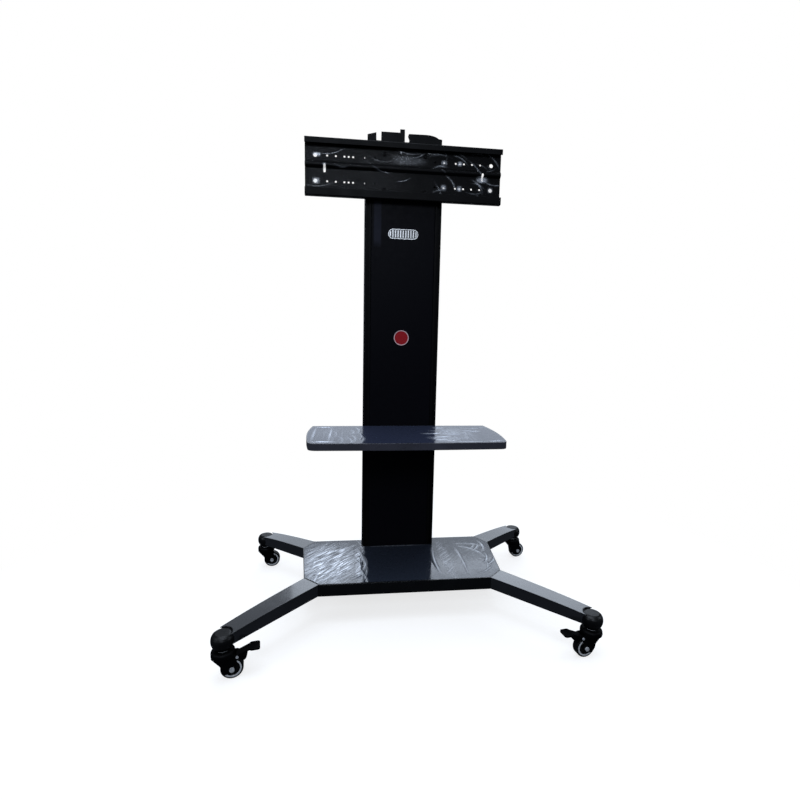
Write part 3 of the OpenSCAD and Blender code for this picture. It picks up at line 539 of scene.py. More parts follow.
@dataclass(frozen=True)
class PanelFinish:
    """The column's satin front, with two faint lighter strips near its top that are painted highlights.

    Attributes:
        name: Material name.
        colours: Colour of the paint, and of a painted highlight strip.
        strips: Left and right edge of each painted highlight strip.
        low: Height where the strips start.
        strength: How strongly they show at the top.
        blur: How far their edges are blurred.
        fade: Height over which they come in.
        roughness: Lowest and highest roughness of the paint.
        smear_mm: Size of its rougher areas.
        specular: Strength of its plain reflection.
        grain_mm: Grain of its texture.
        depth_mm: Depth of that texture.
    """

    name: str = "Column_front_satin_painted_highlights"
    colours: tuple[str, str] = ("#08080d", "#2a2c38")
    strips: tuple[Pair, Pair] = ((-0.111, -0.084), (0.133, 0.147))
    low: float = 1.332
    strength: float = 0.55
    blur: float = 0.002
    fade: float = 0.03
    roughness: Pair = (0.42, 0.52)
    smear_mm: float = 20.0
    specular: float = 0.05
    grain_mm: float = 0.9
    depth_mm: float = 0.03

    def build(self) -> bpy.types.Material:
        """Builds the material.

        Returns:
            The finished material.
        """
        skin = Surface(self.name)
        here = skin.add("ShaderNodeTexCoord", output="Object")
        x = skin.add("ShaderNodeSeparateXYZ", (here,), "X")
        z = x.node.outputs["Z"]
        # The two strips are painted highlights, which fade in above their low height.
        upper = skin.add("ShaderNodeMapRange", (z, self.low, self.low + self.fade, 0.0, self.strength))
        inside = []
        for left, right in self.strips:
            past_left = skin.add("ShaderNodeMapRange", (x, left - self.blur, left + self.blur, 0.0, 1.0))
            past_right = skin.add("ShaderNodeMapRange", (x, right - self.blur, right + self.blur, 1.0, 0.0))
            inside.append(skin.add("ShaderNodeMath", (past_left, past_right), operation="MULTIPLY"))
        either = skin.add("ShaderNodeMath", inside, operation="MAXIMUM")
        share = skin.add("ShaderNodeMath", (either, upper), operation="MULTIPLY")
        shader = {
            "Roughness": skin.cloud(self.smear_mm, detail=4, levels=self.roughness),
            "Specular IOR Level": self.specular,
        }
        return skin.close(self.colours, share, skin.grain(self.grain_mm, detail=2), self.depth_mm, shader)


@dataclass(frozen=True)
class OvalFinish:
    """A silver rim and even silver flutes on a dark field.

    Attributes:
        low: Lowest corner of the plate's box.
        high: Highest corner of that box.
        name: Material name.
        colours: Colour of the field, and of the silver.
        rim: Width of the rim.
        pitch: Distance from flute to flute.
        flute_share: Half of a flute's width, as a share of the pitch.
        flute_blur_share: Width of a flute's soft edge, as a share of the pitch.
        gap: Dark line between the rim and the flutes.
        blur: Width over which silver turns into the field.
        silver_metallic: How much the silver mirrors rather than scatters.
        roughness: Roughness of it all.
        relief_mm: Height of the silver over the field.
    """

    low: Vector
    high: Vector
    name: str = "Fluted_oval_plate"
    colours: tuple[str, str] = ("#08080a", WHITE)
    rim: float = 0.003
    pitch: float = 0.00975
    flute_share: float = 0.21
    flute_blur_share: float = 0.04
    gap: float = 0.0012
    blur: float = 0.0006
    silver_metallic: float = 0.15
    roughness: float = 0.24
    relief_mm: float = 0.4

    def build(self) -> bpy.types.Material:
        """Builds the material.

        Returns:
            The finished material.
        """
        skin = Surface(self.name)
        middle = (self.low + self.high) / 2
        half = (self.high - self.low) / 2
        reach = skin.reach(middle, half.x - half.z)
        inner = half.z - self.rim
        rim = skin.add("ShaderNodeMapRange", (reach, inner, inner + self.blur, 0.0, 1.0))
        edge = inner - self.gap
        ground = skin.add("ShaderNodeMapRange", (reach, edge - self.blur, edge, 1.0, 0.0))
        here = skin.add("ShaderNodeTexCoord", output="Object")
        x = skin.add("ShaderNodeSeparateXYZ", (here,), "X")
        phase = skin.add("ShaderNodeMath", (x, self.pitch / 2), operation="PINGPONG")
        flute = self.pitch * self.flute_share
        flute_end = flute + self.pitch * self.flute_blur_share
        flutes = skin.add("ShaderNodeMapRange", (phase, flute, flute_end, 1.0, 0.0))
        inside = skin.add("ShaderNodeMath", (flutes, ground), operation="MULTIPLY")
        silver = skin.add("ShaderNodeMath", (rim, inside), operation="MAXIMUM")
        metallic = skin.add("ShaderNodeMath", (silver, self.silver_metallic), operation="MULTIPLY")
        shader = {"Metallic": metallic, "Roughness": self.roughness}
        return skin.close(self.colours, silver, silver, self.relief_mm, shader)


@dataclass(frozen=True)
class BadgeFinish:
    """A glossy red disc inside a thin silver rim.

    Attributes:
        low: Lowest corner of the badge's box.
        high: Highest corner of that box.
        name: Material name.
        colours: Colour of the disc, and of the rim.
        rim: Width of the rim.
        blur: Width over which the disc turns into the rim.
        scuff_mm: Size of the fine scuffs.
        roughness: Lowest and highest roughness.
        relief_mm: Height of the rim over the disc.
    """

    low: Vector
    high: Vector
    name: str = "Rimmed_round_badge"
    colours: tuple[str, str] = ("#9c0f1a", "#d9b9bd")
    rim: float = 0.0032
    blur: float = 0.0005
    scuff_mm: float = 3.0
    roughness: Pair = (0.22, 0.3)
    relief_mm: float = 0.3

    def build(self) -> bpy.types.Material:
        """Builds the material.

        Returns:
            The finished material.
        """
        skin = Surface(self.name)
        reach = skin.reach((self.low + self.high) / 2)
        inner = (self.high.z - self.low.z) / 2 - self.rim
        share = skin.add("ShaderNodeMapRange", (reach, inner, inner + self.blur, 0.0, 1.0))
        shader = {"Roughness": skin.cloud(self.scuff_mm, detail=2, levels=self.roughness)}
        return skin.close(self.colours, share, share, self.relief_mm, shader)


SLOT_FINISHES: dict[Slot, Finish] = {
    # Baked powder coat: a deep flat black whose fine orange peel only just catches the light.
    Slot.POWDER: PaintFinish(
        "Satin_powder_coat", ("#030304", "#060608"),
        roughness=0.46, grain_mm=0.8, depth_mm=0.02, specular=0.08,
    ),
    # Stove enamel: a black with a soft sheen and long, very shallow waves.
    Slot.GLOSS: PaintFinish(
        "Gloss_stove_enamel", ("#060708", "#0a0b0d"),
        roughness=0.22, grain_mm=30.0, depth_mm=0.03, specular=0.35, coat=0.3,
    ),
    # Moulded polypropylene: a dull black with a fine sparked grain, greyer where hands and shoes rub it.
    Slot.MOULDED: PlasticFinish(
        "Grained_cap_plastic", ("#060607", "#0d0e0f"),
        roughness=0.34, grain_mm=0.7, depth_mm=0.03, specular=0.3,
    ),
    # Moulded nylon: smoother than the caps, so the hubs show small soft highlights.
    Slot.WHEEL: PlasticFinish(
        "Smooth_wheel_nylon", ("#09090a", "#141517"),
        roughness=0.26, grain_mm=1.2, depth_mm=0.02, specular=0.5,
    ),
    # Polyurethane rubber: a matt brownish black that picks up dust.
    Slot.TREAD: PlasticFinish(
        "Caster_tread_rubber", ("#070707", "#12110f"),
        roughness=0.5, grain_mm=0.6, depth_mm=0.06, specular=0.3,
    ),
    # Zinc plate: a pale, slightly blotchy grey on bolts, axles and stems.
    Slot.ZINC: MetalFinish(
        "Bright_zinc_plate", ("#eceef0", "#b4b6ba"),
        roughness=0.26, mark_mm=1.5, metallic=0.25,
    ),
    # Chrome plate: the two bright rings that make the wheels stand out from the black.
    Slot.CHROME: MetalFinish(
        "Polished_ring_chrome", (WHITE, "#e2e4e8"),
        roughness=0.12, mark_mm=2.0, metallic=0.15,
    ),
}

# Enamel under a thick gloss coat: the legs' tops mirror the room as a grey sheen.
LEG_FINISH = PaintFinish(
    "Leg_enamel", ("#1c1d20", "#232428"),
    roughness=0.14, grain_mm=60.0, depth_mm=0.06, specular=0.7, coat=1.0, edge_mm=3.0,
)

# Enamel a shade bluer and greyer than the base, which shows on the shelf's lip.
SHELF_FINISH = PaintFinish(
    "Shelf_enamel", ("#3a3a42", "#42424c"),
    roughness=0.26, grain_mm=60.0, depth_mm=0.03, specular=0.4, coat=0.3, edge_mm=2.0,
)

# Protective polyethylene film: a bluish mirror where it lies flat, and white along its creases, partly
# milkiness and partly painted glints.
# Loose film mirrors from both its faces, so an index here may be above polyethylene's 1.5.
BASE_FILM_FINISH = FilmFinish(
    "Base_clear_film", ("#2c323e", "#f4f8ff"), (0.82, 0.96), roughness=0.1, ior=1.85,
    streak_mm=6.0, streak_turn=48.0, streak_stretch=9.0,
)
SHELF_FILM_FINISH = FilmFinish(
    "Shelf_clear_film", ("#31374b", "#e6ecf8"), (0.82, 0.95), roughness=0.14, ior=1.5,
    streak_mm=7.0, streak_turn=90.0, streak_stretch=14.0,
)

# The same film drawn tight over the dark wall plate: nearly unseen, but for its glints, which are painted
# as white spots and streaks.
PLATE_FILM_FINISH = FilmFinish(
    "Plate_clear_film", ("#202329", "#e6eaf2"), (0.012, 0.8), roughness=0.12, ior=1.7,
    mirror=0.1, solid=0.6, wave_mm=12.0, wave_depth_mm=0.2,
)


# Meshes


def mesh_object(name: str, points: np.ndarray, faces: Sequence[Sequence[int]]) -> bpy.types.Object:
    """Makes a smooth object from points in the shared frame.

    Args:
        name: Object and mesh name.
        points: One row of X, Y and Z per vertex.
        faces: Vertex indices of each face.

    Returns:
        The object, already linked to the scene.
    """
    mesh = bpy.data.meshes.new(name)
    mesh.from_pydata([tuple(p) for p in points], [], [tuple(f) for f in faces])
    mesh.validate()
    mesh.polygons.foreach_set("use_smooth", [True] * len(mesh.polygons))
    made = bpy.data.objects.new(name, mesh)
    bpy.context.scene.collection.objects.link(made)
    return made


def grid_faces(rows: int, columns: int, start: int = 0) -> list[Quad]:
    """Returns the quads of a grid whose vertices are numbered row by row.

    Args:
        rows: How many rows of vertices there are.
        columns: How many vertices a row has.
        start: Number of the first vertex.

    Returns:
        The vertex indices of each quad.
    """
    corners = [start + r * columns + c for r in range(rows - 1) for c in range(columns - 1)]
    return [(i, i + 1, i + columns + 1, i + columns) for i in corners]


# Films


@dataclass(frozen=True)
class Ridge:
    """One crease of a film, along a short bowed line.

    Attributes:
        middle: Its middle, along the film's two axes.
        heading: Its direction, in radians from the first axis.
        length: Its length.
        width: Its width.
        bow: How far its middle is bowed sideways.
        weight: Its strength, from 0 to 1.
    """

    # The bow comes to almost nothing at both ends.
    BOW_PHASE: ClassVar[float] = 3.1
    # The crease is whole over its middle and has faded out at both ends.
    FADE_TOP: ClassVar[float] = 1.4
    FADE_RATE: ClassVar[float] = 2.8

    middle: Pair
    heading: float
    length: float
    width: float
    bow: float
    weight: float

    @classmethod
    def between(cls, start: Pair, end: Pair, width: float, bow: float, weight: float) -> "Ridge":
        """Places a crease from its given ends.

        Args:
            start: Where it starts, along the film's two axes.
            end: Where it ends.
            width: Its width.
            bow: How far its middle is bowed sideways.
            weight: Its strength, from 0 to 1.

        Returns:
            The crease.
        """
        run, climb = end[0] - start[0], end[1] - start[1]
        middle = ((start[0] + end[0]) / 2, (start[1] + end[1]) / 2)
        return cls(middle, math.atan2(climb, run), math.hypot(run, climb), width, bow, weight)

    def at(self, u: np.ndarray, v: np.ndarray) -> np.ndarray:
        """Says how strongly each point lies on the crease.

        Args:
            u: The points' places along the film's first axis.
            v: Their places along its second axis.

        Returns:
            For each point a value from 0 to the crease's weight.
        """
        right, up = u - self.middle[0], v - self.middle[1]
        along = right * math.cos(self.heading) + up * math.sin(self.heading)
        across = up * math.cos(self.heading) - right * math.sin(self.heading)
        off = across + self.bow * np.cos(along / self.length * self.BOW_PHASE)
        fade = np.clip(self.FADE_TOP - self.FADE_RATE * np.abs(along) / self.length, 0, 1)
        return np.exp(-((off / self.width) ** 2)) * fade * self.weight


@dataclass(frozen=True)
class Scatter:
    """Creases that fall at random over an area.

    Attributes:
        seed: Seed of the random numbers.
        low: Lowest corner of the area, along the film's two axes.
        high: Its highest corner.
        count: How many creases there are.
        length: Shortest and longest crease.
        width: Thinnest and widest crease.
        heading: Their middle direction, in degrees from the first axis.
        spread: How far they turn from it, in degrees.
        strongest: Strength of the strongest crease.
        weakest_share: Share of that strength that the weakest one has.
        bow_share: How far a crease is bowed, as a share of its length.
    """

    seed: int
    low: Pair
    high: Pair
    count: int
    length: Pair
    width: Pair
    heading: float
    spread: float
    strongest: float = 1.0
    weakest_share: float = 0.35
    bow_share: float = 0.12

    def ridges(self) -> list[Ridge]:
        """Draws the random numbers of each crease in turn.

        Returns:
            The creases.
        """
        random = np.random.default_rng(self.seed)
        made = []
        for _ in range(self.count):
            middle = (random.uniform(self.low[0], self.high[0]), random.uniform(self.low[1], self.high[1]))
            heading = math.radians(self.heading + random.uniform(-self.spread, self.spread))
            length = random.uniform(*self.length)
            weight = random.uniform(self.weakest_share, 1.0) * self.strongest
            width = random.uniform(*self.width)
            made.append(Ridge(middle, heading, length, width, self.bow_share * length, weight))
        return made


@dataclass(frozen=True)
class Patch:
    """A milky area of a film, with soft edges; its white is partly a painted glint.

    Attributes:
        middle: Its middle, along the film's two axes.
        half: Half its size along each axis.
        amount: How milky it is, painted glint included, from 0 to 1.
    """

    # The patch fades out a quarter of its half size beyond it, and is whole well inside.
    OVERRUN: ClassVar[float] = 1.25
    STEEPNESS: ClassVar[float] = 1.6

    middle: Pair
    half: Pair
    amount: float

    def at(self, u: np.ndarray, v: np.ndarray) -> np.ndarray:
        """Says how milky each point is.

        Args:
            u: The points' places along the film's first axis.
            v: Their places along its second axis.

        Returns:
            For each point a value from 0 to the patch's amount.
        """
        across = np.clip(self.OVERRUN - np.abs(u - self.middle[0]) / self.half[0], 0, 1)
        along = np.clip(self.OVERRUN - np.abs(v - self.middle[1]) / self.half[1], 0, 1)
        return np.clip(across * along * self.STEEPNESS, 0, 1) * self.amount


@dataclass
class Film:
    """A creased clear film that stands for one CAD film node.

    Creases and milky areas, whose white is partly painted glint, are placed along its two axes, from the
    middle of that node.

    Attributes:
        node: The CAD node it stands for.
        body: The CAD body it rides on.
        rests_on: The CAD node it lies on. Not used.
        finish: Its finish.
        rise: Height of the tallest crease.
        scatters: Its random creases.
        ridges: The creases placed one by one.
        patches: Its milky areas, partly painted glints.
        up: The direction that creases rise in.
        axes: Which coordinates run along it.
        gap: How far it lies off what it rests on.
        low: Lowest corner of the CAD node's box.
        high: Highest corner of that box.
    """

    node: str
    body: str
    rests_on: str
    finish: FilmFinish
    rise: float
    scatters: tuple[Scatter, ...]
    ridges: tuple[Ridge, ...]
    patches: tuple[Patch, ...]
    up: Point = (0.0, 0.0, 1.0)
    axes: tuple[int, int] = (0, 1)
    gap: float = 0.0003
    low: Vector = field(init=False)
    high: Vector = field(init=False)

    def __post_init__(self) -> None:
        """Reads the box of the CAD node."""
        self.low, self.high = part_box(self.node)

    def cut(self) -> Pair:
        """Returns its width and length as cut."""
        return self.high.x - self.low.x, self.high.y - self.low.y

    def spread_flat(self) -> tuple[np.ndarray, list[Quad]]:
        """Returns the vertices and faces of the film before it is creased."""
        raise NotImplementedError

    def build(self) -> bpy.types.Object:
        """Draws the film and dresses it.

        Returns:
            The film's object.
        """
        points, faces = self.spread_flat()
        middle = (self.low + self.high) / 2
        u, v = (points[:, axis] - middle[axis] for axis in self.axes)
        ridges = [r for scatter in self.scatters for r in scatter.ridges()] + list(self.ridges)
        creased = np.max([r.at(u, v) for r in ridges], axis=0)
        # The milky areas are partly painted glints.
        milky = np.max([p.at(u, v) for p in self.patches], axis=0)
        made = mesh_object("film_" + self.node, points + np.outer(creased * self.rise, self.up), faces)
        for name, values in ((FilmFinish.HAZE_AND_GLINT, creased), (FilmFinish.VEIL_AND_GLINT, milky)):
            attribute = made.data.attributes.new(name, "FLOAT", "POINT")
            attribute.data.foreach_set("value", values.astype(np.float32))
        made.data.materials.append(self.finish.build())
        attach(made, self.body)
        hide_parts(self.node)
        return made


@dataclass
class BaseFilm(Film):
    """The film on the base: an octagon with a notch for the column.

    Attributes:
        size: Width and length as cut.
        front_half: Half its width along the front edge.
        shoulder: Half width, and Y from the middle, where its slanted front corners end.
        widest_y: Y from the middle where it is widest.
        rear_half: Half its width along the rear edge.
        notch_gap: Room between the notch and the column.
        step: Distance from vertex to vertex.
    """

    node: str = "base_film"
    body: str = "base"
    rests_on: str = "base_cover"
    finish: FilmFinish = BASE_FILM_FINISH
    rise: float = 0.0024
    scatters: tuple[Scatter, ...] = (
        Scatter(
            seed=11, low=(-0.35, -0.168), high=(-0.18, 0.132), count=22,
            length=(0.06, 0.14), width=(0.003, 0.007), heading=42, spread=12,
        ),
        Scatter(
            seed=12, low=(-0.36, -0.168), high=(-0.24, 0.032), count=14,
            length=(0.05, 0.1), width=(0.003, 0.006), heading=70, spread=20,
        ),
        Scatter(
            seed=13, low=(-0.185, -0.158), high=(-0.15, 0.112), count=12,
            length=(0.1, 0.22), width=(0.0018, 0.003), heading=94, spread=3,
        ),
        Scatter(
            seed=14, low=(0.2, -0.118), high=(0.35, 0.152), count=7,
            length=(0.05, 0.12), width=(0.002, 0.004), heading=60, spread=30,
        ),
    )
    ridges: tuple[Ridge, ...] = (
        Ridge.between((0.142, 0.102), (0.135, -0.153), 0.0045, 0.012, 0.8),
        Ridge.between((0.232, 0.11), (0.232, -0.153), 0.003, -0.004, 0.75),
        Ridge.between((0.245, 0.092), (0.335, -0.018), 0.005, -0.018, 0.7),
        Ridge.between((0.235, 0.11), (0.36, 0.072), 0.004, -0.015, 0.45),
        Ridge.between((-0.14, 0.11), (0.14, 0.11), 0.004, 0.002, 0.25),
    )
    # These milky patches are partly painted highlights on the film.
    patches: tuple[Patch, ...] = (
        Patch((-0.27, -0.018), (0.1, 0.15), 0.95),
        Patch((-0.165, -0.028), (0.014, 0.14), 0.85),
        Patch((0.25, -0.008), (0.1, 0.13), 0.13),
        Patch((0.175, -0.018), (0.02, 0.14), 0.42),
    )
    size: Pair = (0.757, 0.342)
    front_half: float = 0.303
    shoulder: Pair = (0.3557, -0.1219)
    widest_y: float = 0.112
    rear_half: float = 0.337
    notch_gap: float = 0.003
    step: float = 0.003

    def cut(self) -> Pair:
        """Returns its width and length as cut."""
        return self.size

    def half_width(self, y: float) -> float:
        """Reads the film's outline.

        Args:
            y: How far back, in the shared frame.

        Returns:
            Half its width there.
        """
        middle = (self.low.y + self.high.y) / 2
        ys = (self.low.y, middle + self.shoulder[1], middle + self.widest_y, self.high.y)
        halves = (self.front_half, self.shoulder[0], self.high.x, self.rear_half)
        return float(np.interp(y, ys, halves))

    def spread_flat(self) -> tuple[np.ndarray, list[Quad]]:
        """Lays one grid before the column and one at each side of it.

        Returns:
            The vertices and faces of the flat film.
        """
        column_low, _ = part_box("column_rail_left")
        notch_half = self.notch_gap - column_low.x
        notch_y = column_low.y - self.notch_gap
        z = self.low.z + self.gap
        blocks: list[np.ndarray] = []
        faces: list[Quad] = []
        for side in (0, -1, 1):
            y0, y1 = (notch_y, self.high.y) if side else (self.low.y, notch_y)
            rows = max(2, round((y1 - y0) / self.step) + 1)
            span = self.half_width(y0) - notch_half if side else 2 * self.half_width((y0 + y1) / 2)
            columns = max(2, round(span / self.step) + 1)
            faces += grid_faces(rows, columns, sum(len(block) for block in blocks))
            strips = []
            for y in np.linspace(y0, y1, rows):
                half = self.half_width(float(y))
                ends = (side * notch_half, side * half) if side else (-half, half)
                xs = np.linspace(*ends, columns)
                strips.append(np.column_stack([xs, np.full(columns, y), np.full(columns, z)]))
            blocks.append(np.vstack(strips))
        return np.vstack(blocks), faces


@dataclass
class ShelfFilm(Film):
    """The film on the shelf, with round front corners and sides that bow out a little.

    Attributes:
        rows: Rows of vertices, from the back to the front.
        columns: Vertices in a row.
        side_bow: How far the sides bow out.
        bow_end_share: Share of the length over which they do.
        corner: Radius of the front corners.
        front_bow: How far the front edge bows out.
        front_power: How late along its length the film takes that bow.
    """

    node: str = "shelf_film"
    body: str = "shelf"
    rests_on: str = "shelf_tray"
    finish: FilmFinish = SHELF_FILM_FINISH
    rise: float = 0.0018
    scatters: tuple[Scatter, ...] = (
        Scatter(
            seed=21, low=(-0.3, -0.1257), high=(-0.17, 0.1343), count=9,
            length=(0.1, 0.2), width=(0.003, 0.006), heading=90, spread=4, strongest=0.7,
        ),
        Scatter(
            seed=22, low=(0.08, -0.1357), high=(0.17, 0.0743), count=20,
            length=(0.03, 0.09), width=(0.003, 0.008), heading=1, spread=5,
        ),
        Scatter(
            seed=23, low=(0.17, -0.1257), high=(0.31, 0.1243), count=7,
            length=(0.05, 0.12), width=(0.003, 0.006), heading=8, spread=14,
        ),
    )
    ridges: tuple[Ridge, ...] = (
        Ridge.between((-0.33, 0.1243), (-0.255, 0.1243), 0.008, 0.0, 1.0),
        Ridge.between((-0.335, -0.1257), (-0.245, -0.1257), 0.007, 0.0, 1.0),
        Ridge.between((-0.325, 0.1343), (-0.33, -0.1357), 0.0035, 0.0, 0.8),
        Ridge.between((-0.265, 0.1343), (-0.272, -0.1357), 0.0035, 0.0, 0.8),
        Ridge.between((0.12, 0.1093), (0.17, 0.0993), 0.012, 0.0, 1.0),
        Ridge.between((0.1, -0.1377), (0.3, -0.1377), 0.0035, 0.0, 0.6),
    )
    # These milky patches are partly painted highlights on the film.
    patches: tuple[Patch, ...] = (
        Patch((-0.24, 0.0043), (0.08, 0.13), 0.12),
        Patch((0.19, -0.0057), (0.06, 0.12), 0.35),
    )
    rows: int = 105
    columns: int = 233
    side_bow: float = 0.012
    bow_end_share: float = 0.93
    corner: float = 0.022
    front_bow: float = 0.005
    front_power: int = 8

    def spread_flat(self) -> tuple[np.ndarray, list[Quad]]:
        """Lays the film as one grid, row by row from the back.

        Returns:
            The vertices and faces of the flat film.
        """
        half = (self.high.x - self.low.x) / 2 - self.side_bow
        front = self.low.y + self.front_bow
        shares = np.linspace(-1, 1, self.columns)
        rows = []
        for v in np.linspace(0, 1, self.rows):
            y = self.high.y + (front - self.high.y) * v
            along = min(v / self.bow_end_share, 1)
            into = max(0.0, front + self.corner - y)
            round_off = self.corner - math.sqrt(max(self.corner**2 - into**2, 0.0))
            # The bow is a parabola that comes to its full depth halfway along.
            wide = half + 4 * self.side_bow * along * (1 - along) - round_off
            ys = y - self.front_bow * (1 - shares**2) * v**self.front_power
            rows.append(np.column_stack([shares * wide, ys, np.full(self.columns, self.low.z + self.gap)]))
        return np.vstack(rows), grid_faces(self.rows, self.columns)


@dataclass
class PlateFilm(Film):
    """The film over the wall plate's web and ridge.

    Attributes:
        rows: Rows of vertices, from the bottom to the top.
        columns: Vertices in a row.
        length: Its length as cut, measured over the ridge.
        slack: How much lower than its CAD solid it stands over the ridge.
        ridge_heights: Where the ridge's foot, top and foot again lie above the middle.
    """

    node: str = "plate_film"
    body: str = "head"
    rests_on: str = "wall_plate"
    finish: FilmFinish = PLATE_FILM_FINISH
    rise: float = 0.0016
    scatters: tuple[Scatter, ...] = (
        Scatter(
            seed=31, low=(0.12, -0.0925), high=(0.35, 0.0925), count=26,
            length=(0.03, 0.12), width=(0.0012, 0.003), heading=150, spread=40,
        ),
        Scatter(
            seed=32, low=(-0.34, -0.0925), high=(0.34, 0.0925), count=16,
            length=(0.03, 0.12), width=(0.001, 0.0025), heading=0, spread=25,
        ),
    )
    ridges: tuple[Ridge, ...] = ()
    # These patches are painted glints, most of them small spots at the plate's slots and holes.
    patches: tuple[Patch, ...] = (
        Patch((0.02, 0.0445), (0.06, 0.016), 0.34),
        Patch((-0.015, 0.0705), (0.004, 0.004), 0.7),
        Patch((-0.32, 0.0465), (0.014, 0.006), 0.9),
        Patch((-0.293, 0.0065), (0.006, 0.014), 0.8),
        Patch((-0.323, -0.0435), (0.012, 0.01), 0.6),
        Patch((0.292, -0.0085), (0.022, 0.011), 1.0),
        Patch((0.146, 0.044), (0.011, 0.009), 0.8),
        Patch((0.146, -0.044), (0.011, 0.011), 0.8),
        Patch((0.206, 0.044), (0.01, 0.009), 1.0),
        Patch((0.206, -0.044), (0.01, 0.01), 1.0),
        Patch((0.325, -0.044), (0.01, 0.01), 0.7),
    )
    up: Point = (0.0, -1.0, 0.0)
    axes: tuple[int, int] = (0, 2)
    gap: float = 0.0005
    rows: int = 75
    columns: int = 241
    length: float = 0.19
    slack: float = 0.0004
    ridge_heights: tuple[float, ...] = (0.001, 0.009, 0.015, 0.023)

    def cut(self) -> Pair:
        """Returns its width and length as cut."""
        return self.high.x - self.low.x, self.length

    def spread_flat(self) -> tuple[np.ndarray, list[Quad]]:
        """Lays the film as one grid that follows the ridge.

        Returns:
            The vertices and faces of the uncreased film.
        """
        middle = (self.low.z + self.high.z) / 2
        web = self.high.y - self.gap
        top = web - (self.high.y - self.low.y - self.slack)
        heights = (self.low.z, *(middle + h for h in self.ridge_heights), self.high.z)
        zs = np.linspace(self.low.z, self.high.z, self.rows)
        ys = np.interp(zs, heights, (web, web, top, top, web, web))
        xs = np.linspace(self.low.x, self.high.x, self.columns)
        one = np.ones(self.columns)
        rows = [np.column_stack([xs, y * one, z * one]) for y, z in zip(ys, zs)]
        return np.vstack(rows), grid_faces(self.rows, self.columns)


# Sub-assemblies


@dataclass
class PadRibs:
    """The grip ribs across a brake lever's pad, repeated with Geometry Nodes.

    Attributes:
        side: Which brake they are on.
        turn: Direction of the lever, in degrees from X.
        paint: Their material.
        count: How many ribs there are.
        pitch: Distance from rib to rib.
        width: A rib's size along the lever.
        length: Its size across the lever.
        height: Its whole height.
        sunk: How much of that height lies in the pad.
        start: Distance of the first rib from the wheel's middle.
    """

    side: Side
    turn: float
    paint: bpy.types.Material
    count: int = 5
    pitch: float = 0.0042
    width: float = 0.0018
    length: float = 0.028
    height: float = 0.0012
    sunk: float = 0.0004
    start: float = 0.056

    def _bake(self) -> bpy.types.Mesh:
        """Repeats one rib along X, from the origin on.

        Returns:
            All ribs as one plain mesh.
        """
        group = bpy.data.node_groups.new(f"ribs_{self.side.value}", "GeometryNodeTree")
        nodes = NodeBuilder(group)
        group.interface.new_socket("Ribs", in_out="OUTPUT", socket_type="NodeSocketGeometry")
        count = group.interface.new_socket("Count", in_out="INPUT", socket_type="NodeSocketInt")
        sizes = {count.identifier: self.count}
        for name in ("pitch", "width", "length", "height"):
            socket = group.interface.new_socket(name.title(), in_out="INPUT", socket_type="NodeSocketFloat")
            sizes[socket.identifier] = getattr(self, name)
        given = nodes.add("NodeGroupInput").node.outputs
        step = nodes.add("ShaderNodeCombineXYZ", {"X": given["Pitch"]})
        size = nodes.add("ShaderNodeCombineXYZ", (given["Width"], given["Length"], given["Height"]))
        places = nodes.add("GeometryNodeMeshLine", {"Count": given["Count"], "Offset": step})
        rib = nodes.add("GeometryNodeMeshCube", {"Size": size})
        copies = nodes.add("GeometryNodeInstanceOnPoints", {"Points": places, "Instance": rib})
        real = nodes.add("GeometryNodeRealizeInstances", {"Geometry": copies})
        painted = nodes.add("GeometryNodeSetMaterial", {"Geometry": real, "Material": self.paint})
        nodes.add("NodeGroupOutput", {"Ribs": painted})
        carrier = mesh_object(f"rib_carrier_{self.side.value}", np.zeros((1, 3)), [])
        modifier = carrier.modifiers.new("ribs", "NODES")
        modifier.node_group = group
        for identifier, value in sizes.items():
            modifier[identifier] = value
        bpy.context.view_layer.update()
        shown = carrier.evaluated_get(bpy.context.evaluated_depsgraph_get())
        baked = bpy.data.meshes.new_from_object(shown)
        bpy.data.objects.remove(carrier)
        # The cubes bring an empty material slot of their own, so the slots are set anew.
        baked.materials.clear()
        baked.materials.append(self.paint)
        for fact, value in (("material_index", 0), ("use_smooth", False)):
            baked.polygons.foreach_set(fact, [value] * len(baked.polygons))
        return baked

    def build(self) -> bpy.types.Object:
        """Sets the ribs on the lever's pad and dresses them.

        Returns:
            All ribs of the pad as one object.
        """
        side = self.side.value
        made = bpy.data.objects.new(f"pad_ribs_{side}", self._bake())
        bpy.context.scene.collection.objects.link(made)
        _, lever_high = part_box(f"brake_lever_{side}")
        axle_low, axle_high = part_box(f"axle_front_{side}")
        wheel = (axle_low + axle_high) / 2
        turn = math.radians(self.turn)
        reach = Vector((math.cos(turn), math.sin(turn), 0)) * self.start
        place = Vector((wheel.x, wheel.y, lever_high.z + self.height / 2 - self.sunk)) + reach
        made.data.transform(Matrix.Translation(place) @ Matrix.Rotation(turn, 4, "Z"))
        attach(made, f"brake_{side}")
        return made


@dataclass
class SubAssembly:
    """CAD nodes that ride on a few bodies, and the pieces that the scene adds to them.

    Attributes:
        BODIES: Names of the CAD bodies that its nodes ride on.
        cad: The loaded frame.
        paints: The material of each slot.
    """

    BODIES: ClassVar[tuple[str, ...]] = ()

    cad: dict
    paints: dict[Slot, bpy.types.Material]

    def special(self) -> dict[str, bpy.types.Material]:
        """Returns the material of each node that doesn't take its slot's."""
        return {}

    def added(self) -> list[bpy.types.Object]:
        """Builds the pieces that the scene adds."""
        return []

    def dress(self) -> dict[str, bpy.types.Material]:
        """Gives the CAD nodes their materials.

        Returns:
            The material of each node by the node's name. The films' nodes are left out.
        """
        slots = {part["node"]: Slot(part["material_slot"]) for part in self.cad["record"]["subparts"]}
        special = self.special()
        dressed = {}
        for name, node in sorted(self.cad["nodes"].items()):
            if slots[name] is Slot.FILM or body_of(node)[0] not in self.BODIES:
                continue
            dressed[name] = special[name] if name in special else self.paints[slots[name]]
            node.data.materials.clear()
            node.data.materials.append(dressed[name])
            node.data.polygons.foreach_set("material_index", [0] * len(node.data.polygons))
        return dressed


